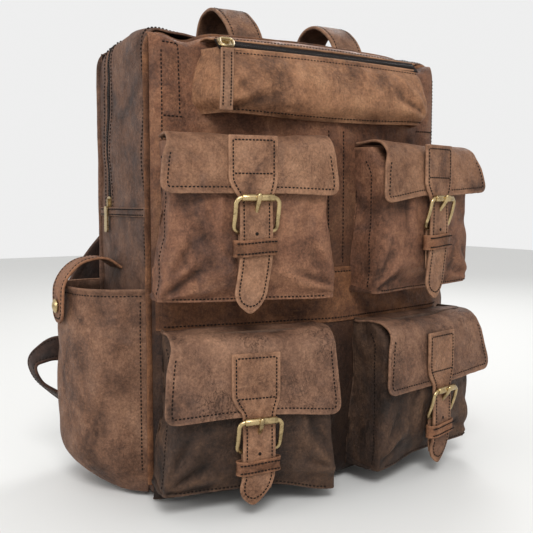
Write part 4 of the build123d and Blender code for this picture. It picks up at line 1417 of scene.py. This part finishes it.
def ribbon_piece(name, centre, across, length, half, thickness, material, body, slot_name, node, out_sign,
                 seed, inset=3.4, puff=0.6, step=2.6):
    """A sewn leather strap: centre(d) and across(d) give its middle line and its width direction."""
    def shape(a, b, lift=0.0):
        a, b = same_size(a, b)
        mid, side = centre(b), across(b)
        ahead = centre(np.clip(b + 1, 0, length)) - centre(np.clip(b - 1, 0, length))
        normal = unit(np.cross(side, ahead)) * out_sign
        edge = half - np.abs(a)
        flat = stack(a, b, a * 0 + seed)
        off = lift + puff * (1 - (a / half) ** 2) + 0.35 * layered(flat, 22, seed)
        off = off - 0.4 * bell(edge - inset, 1.0)
        return mid + side * a[..., None] + normal * off[..., None]
    bb = spaced(length, step)
    aa = -half + spaced(2 * half, step)
    a, b = np.meshgrid(aa, bb)
    wear = bell(half - np.abs(a), 1.5)
    piece = shell(name, shape(a, b), thickness, material, out_sign, wear=wear)
    assign(piece, body, slot_name, node)
    paths = [[(s * (half - inset), 4), (s * (half - inset), length - 4)] for s in (-1, 1)]
    stitches(f"{name}_stitches", lines_on(over(shape), paths, sign=out_sign), M["thread"],
             body)
    return piece


def build_handles():
    for name, sign, peak in (("left", -1, 434.0), ("right", 1, 431.0)):
        x = sign * 57.0
        route = Route([(8, 392), (17, 414), (42, peak + 1), (72, peak - 4), (88, 396)], 22)
        centre = lambda d, r=route, m=x: stack(np.full(np.shape(d), m)
                                               - 3.0 * np.sin(np.asarray(d) / r.length * 3.14),
                                               r.at(d)[..., 0], r.at(d)[..., 1])
        across = lambda d: np.broadcast_to(np.array([1.0, 0, 0]), np.shape(d) + (3,))
        ribbon_piece(f"handle_{name}_strap", centre, across, route.length, 17.0, 3.2, M["handle"], "bag",
                     "leather_strap", f"handle_{name}", 1, 140 + sign)


STRAP_PATH = [(40, 384), (52, 330), (92, 250), (149, 188), (172, 152), (168, 127)]
STRAP_SIDE = [(124.0, 386), (140, 362), (158, 300), (158, 190), (150, 127)]
LOWER_PATH = [(163, 101), (200, 117), (227.5, 105), (221, 84), (140, 19)]
LOWER_Y = 134.2
SLIDE_X = 163.0


def build_shoulder(name, sign):
    body = f"shoulder_strap_{name}_body"
    back, beside = Route(STRAP_PATH, 60), Route(STRAP_SIDE, 60)
    heights, depths = beside.line[::-1, 1], beside.line[::-1, 0]

    def centre(d):
        p = back.at(d)
        return stack(sign * p[..., 0], np.interp(p[..., 1], heights, depths), p[..., 1])

    def across(d):
        t = back.direction(d, 3.0)
        return stack(sign * t[..., 1], t[..., 0] * 0, -t[..., 0])
    ribbon_piece(f"shoulder_strap_{name}_leather", centre, across, back.length, 21.5, 4.6, M["shoulder"], body,
                 "leather_shoulder", f"shoulder_strap_{name}", -sign, 150 + sign, puff=1.4)

    low = Route(LOWER_PATH, 13)

    def low_centre(d):
        p = low.at(d)
        turn = 2.5 * np.sin(np.asarray(d) / low.length * np.pi * 2)
        return stack(sign * p[..., 0], LOWER_Y + turn + 0 * p[..., 0], p[..., 1])

    def low_across(d):
        share = np.asarray(d, float) / low.length
        turn = np.radians(62 * (1 - smooth(share, 0.12, 0.42)) - 22 * smooth(share, 0.4, 0.7)
                          + 22 * smooth(share, 0.75, 1))
        return stack(0 * turn, np.cos(turn), np.sin(turn))
    ribbon_piece(f"lower_strap_{name}_leather", low_centre, low_across, low.length, 13.0, 2.8, M["shoulder"],
                 body, "leather_shoulder", f"lower_strap_{name}", -sign, 153 + sign, puff=0.4)

    corner, wide, tall = 4.0, 23.0, 9.0
    ring = Route([(0, tall), (wide, tall), (wide, -tall), (-wide, -tall), (-wide, tall), (0, tall)],
                 corner * 1.3)
    p = ring.at(np.linspace(0, ring.length, 90, endpoint=False))
    line = stack(sign * SLIDE_X + p[:, 0], np.full(90, 150.0), 115 + p[:, 1])
    points, faces = tube(line, 2.0, 12, up=(0, 1, 0), close=True)
    brass_piece(f"strap_slide_{name}", points, faces, body, f"strap_adjuster_{name}")


# ---------------------------------------------------------------- sliders and pulls

def build_pulls():
    knee, end = np.array([-113.0, -53.5, 376.0]), np.array([-121.5, -67.0, 326.0])
    direction = unit(end - knee)
    length = np.linalg.norm(end - knee)
    outward = unit(np.cross(np.array([1.0, 0, 0]), direction)) * -1
    if outward[1] > 0:
        outward = -outward

    def shape(a, b, lift=0.0):
        a, b = same_size(a, b)
        off = lift + 0.5 * np.sin(b / 15.0) - 0.3 * bell(5.4 - np.abs(a) - 2.0, 0.8)
        return knee + direction * b[..., None] + np.array([1.0, 0, 0]) * a[..., None] + outward * off[..., None]
    aa, bb = -5.4 + spaced(10.8, 1.4), spaced(length, 2.0)
    a, b = np.meshgrid(aa, bb)
    sign = 1 if np.dot(surface_normals(shape(a, b))[3, 3], outward) > 0 else -1
    tab = shell("top_pull_tab", shape(a, b), 2.2, M["handle"], sign, wear=bell(5.4 - np.abs(a), 1.2))
    assign(tab, "zip_pull_top_body", "leather_strap")
    paths = [[(s * 3.4, 3), (s * 3.4, length - 3)] for s in (-1, 1)]
    stitches("top_pull_stitches", lines_on(over(shape), paths, sign=sign), M["thread"],
             "zip_pull_top_body", pitch=2.6)
    start = np.array([-108.0, -40.96, 385.96])
    down = unit(knee - start)
    loop = Route([(0, 0), (5.6, 0.6), (6.3, 9.5), (4.5, 13.6), (0, 14.2), (-4.5, 13.6), (-6.3, 9.5),
                  (-5.6, 0.6), (0, 0)], 4)
    d = np.linspace(0, loop.length, 60, endpoint=False)
    p = loop.at(d)
    line = start + np.array([1.0, 0, 0]) * p[:, :1] + down * p[:, 1:]
    points, faces = tube(line, 1.05, 10, up=tuple(outward), close=True)
    brass_piece("top_pull_bail", points, faces, "zip_pull_top_body")
    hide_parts("zip_pull_top")


def finish_cad_brass():
    """The CAD nodes that stay visible: rounded edges and a brass material."""
    for node in ("zip_slider_top", "zip_slider_main", "zip_pull_main", "snap_sockets"):
        obj = frame["nodes"][node]
        obj.data.materials.clear()
        obj.data.materials.append(M["brass_cad"])
        mod = obj.modifiers.new("Rounded", "BEVEL")
        mod.width = 0.35 * MM
        mod.segments = 3
        obj.data.shade_smooth()


def build_lining():
    """The canvas lining, a closed bag a little inside the leather."""
    xs, zs = np.linspace(-151, 151, 61), np.linspace(9, 378, 74)
    x, z = np.meshgrid(xs, zs)
    keep = round_in(152.5 - np.abs(x), 14) * round_in(z - 7, 12) * round_in(380 - z, 16)
    soft = 1.2 * layered(stack(x, x * 0, z), 30, 91)
    front = stack(x, 6 + (front_face_y(x, z) + 7.0 + soft - 6) * keep, z)
    rear = stack(x, 100 + (7 - soft * 0.5) * keep, z)
    rows, cols = x.shape
    ring = [(0, i) for i in range(cols)] + [(j, cols - 1) for j in range(1, rows)]
    ring += [(rows - 1, i) for i in range(cols - 2, -1, -1)] + [(j, 0) for j in range(rows - 2, 0, -1)]
    count = rows * cols
    faces = grid_faces(rows, cols) + grid_faces(rows, cols, False, count, True)
    for n, (j, i) in enumerate(ring):
        a, b = j * cols + i, ring[(n + 1) % len(ring)][0] * cols + ring[(n + 1) % len(ring)][1]
        faces.append((b, a, count + a, count + b))
    points = slim(np.concatenate([front.reshape(-1, 3), rear.reshape(-1, 3)]))
    piece = make_mesh("lining_canvas_bag", points, faces, M["canvas"])
    assign(piece, "bag", "lining", "lining")


# ---------------------------------------------------------------- scene

build_front()
build_gusset()
build_back()
build_main_zip()
for row_name in ROWS:
    for col_name in COLUMNS:
        build_pocket(row_name, col_name)
        build_flap(row_name, col_name)
        build_strap(row_name, col_name)
        build_keeper(row_name, col_name)
        build_buckle(row_name, col_name)
build_top_pocket()
for side_name, side_sign in COLUMNS.items():
    build_side_pocket(side_name, side_sign)
    build_side_tab(side_name, side_sign)
    build_shoulder(side_name, side_sign)
build_handles()
build_pulls()
finish_cad_brass()
build_lining()


def add_light(name, spot, target, size, power):
    data = bpy.data.lights.new(name, "AREA")
    data.shape = "DISK"
    data.size = size
    data.energy = power
    obj = bpy.data.objects.new(name, data)
    bpy.context.scene.collection.objects.link(obj)
    obj.location = spot
    obj.rotation_euler = (Vector(target) - Vector(spot)).to_track_quat("-Z", "Y").to_euler()


def build_stage():
    bpy.ops.mesh.primitive_plane_add(size=6.0, location=(0, 0, -0.0005))
    floor = bpy.context.object
    floor.name = "floor"
    g = Graph("floor_pale")
    g.shader.inputs["Base Color"].default_value = rgb(214, 214, 212)
    g.shader.inputs["Roughness"].default_value = 0.7
    floor.data.materials.append(g.material)
    floor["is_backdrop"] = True
    world_data = bpy.data.worlds.new("studio")
    bpy.context.scene.world = world_data
    world_data.use_nodes = True
    sky = world_data.node_tree.nodes["Background"]
    sky.inputs["Color"].default_value = (1, 1, 1, 1)
    sky.inputs["Strength"].default_value = 0.86
    add_light("key", (-0.75, -1.35, 1.45), (0, 0, 0.24), 0.8, 26)
    add_light("fill", (-1.5, 0.1, 0.6), (0, 0, 0.2), 0.9, 5)
    add_light("rim", (0.9, 0.9, 1.2), (0, 0, 0.3), 0.7, 9)


CAMERA_AT = np.array([-405.9, -590.6, 253.5])
CAMERA_AZIMUTH = math.radians(-31.45)
CAMERA_ELEVATION = math.radians(4.74)
FOCAL_SHARE = 760 / 533


def build_camera():
    data = bpy.data.cameras.new("camera")
    data.sensor_width = 36
    data.lens = 36 * FOCAL_SHARE
    data.clip_end = 20
    obj = bpy.data.objects.new("camera", data)
    bpy.context.scene.collection.objects.link(obj)
    obj.location = world(CAMERA_AT)
    a, e = CAMERA_AZIMUTH, CAMERA_ELEVATION
    back = Vector((math.sin(a) * math.cos(e), -math.cos(a) * math.cos(e), math.sin(e)))
    obj.rotation_euler = back.to_track_quat("Z", "Y").to_euler()
    bpy.context.scene.camera = obj


build_stage()
build_camera()
bpy.context.scene.view_settings.view_transform = "Standard"

low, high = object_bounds()
{"cad": [list(cad_low), list(cad_high)], "visual": [list(low), list(high)]}
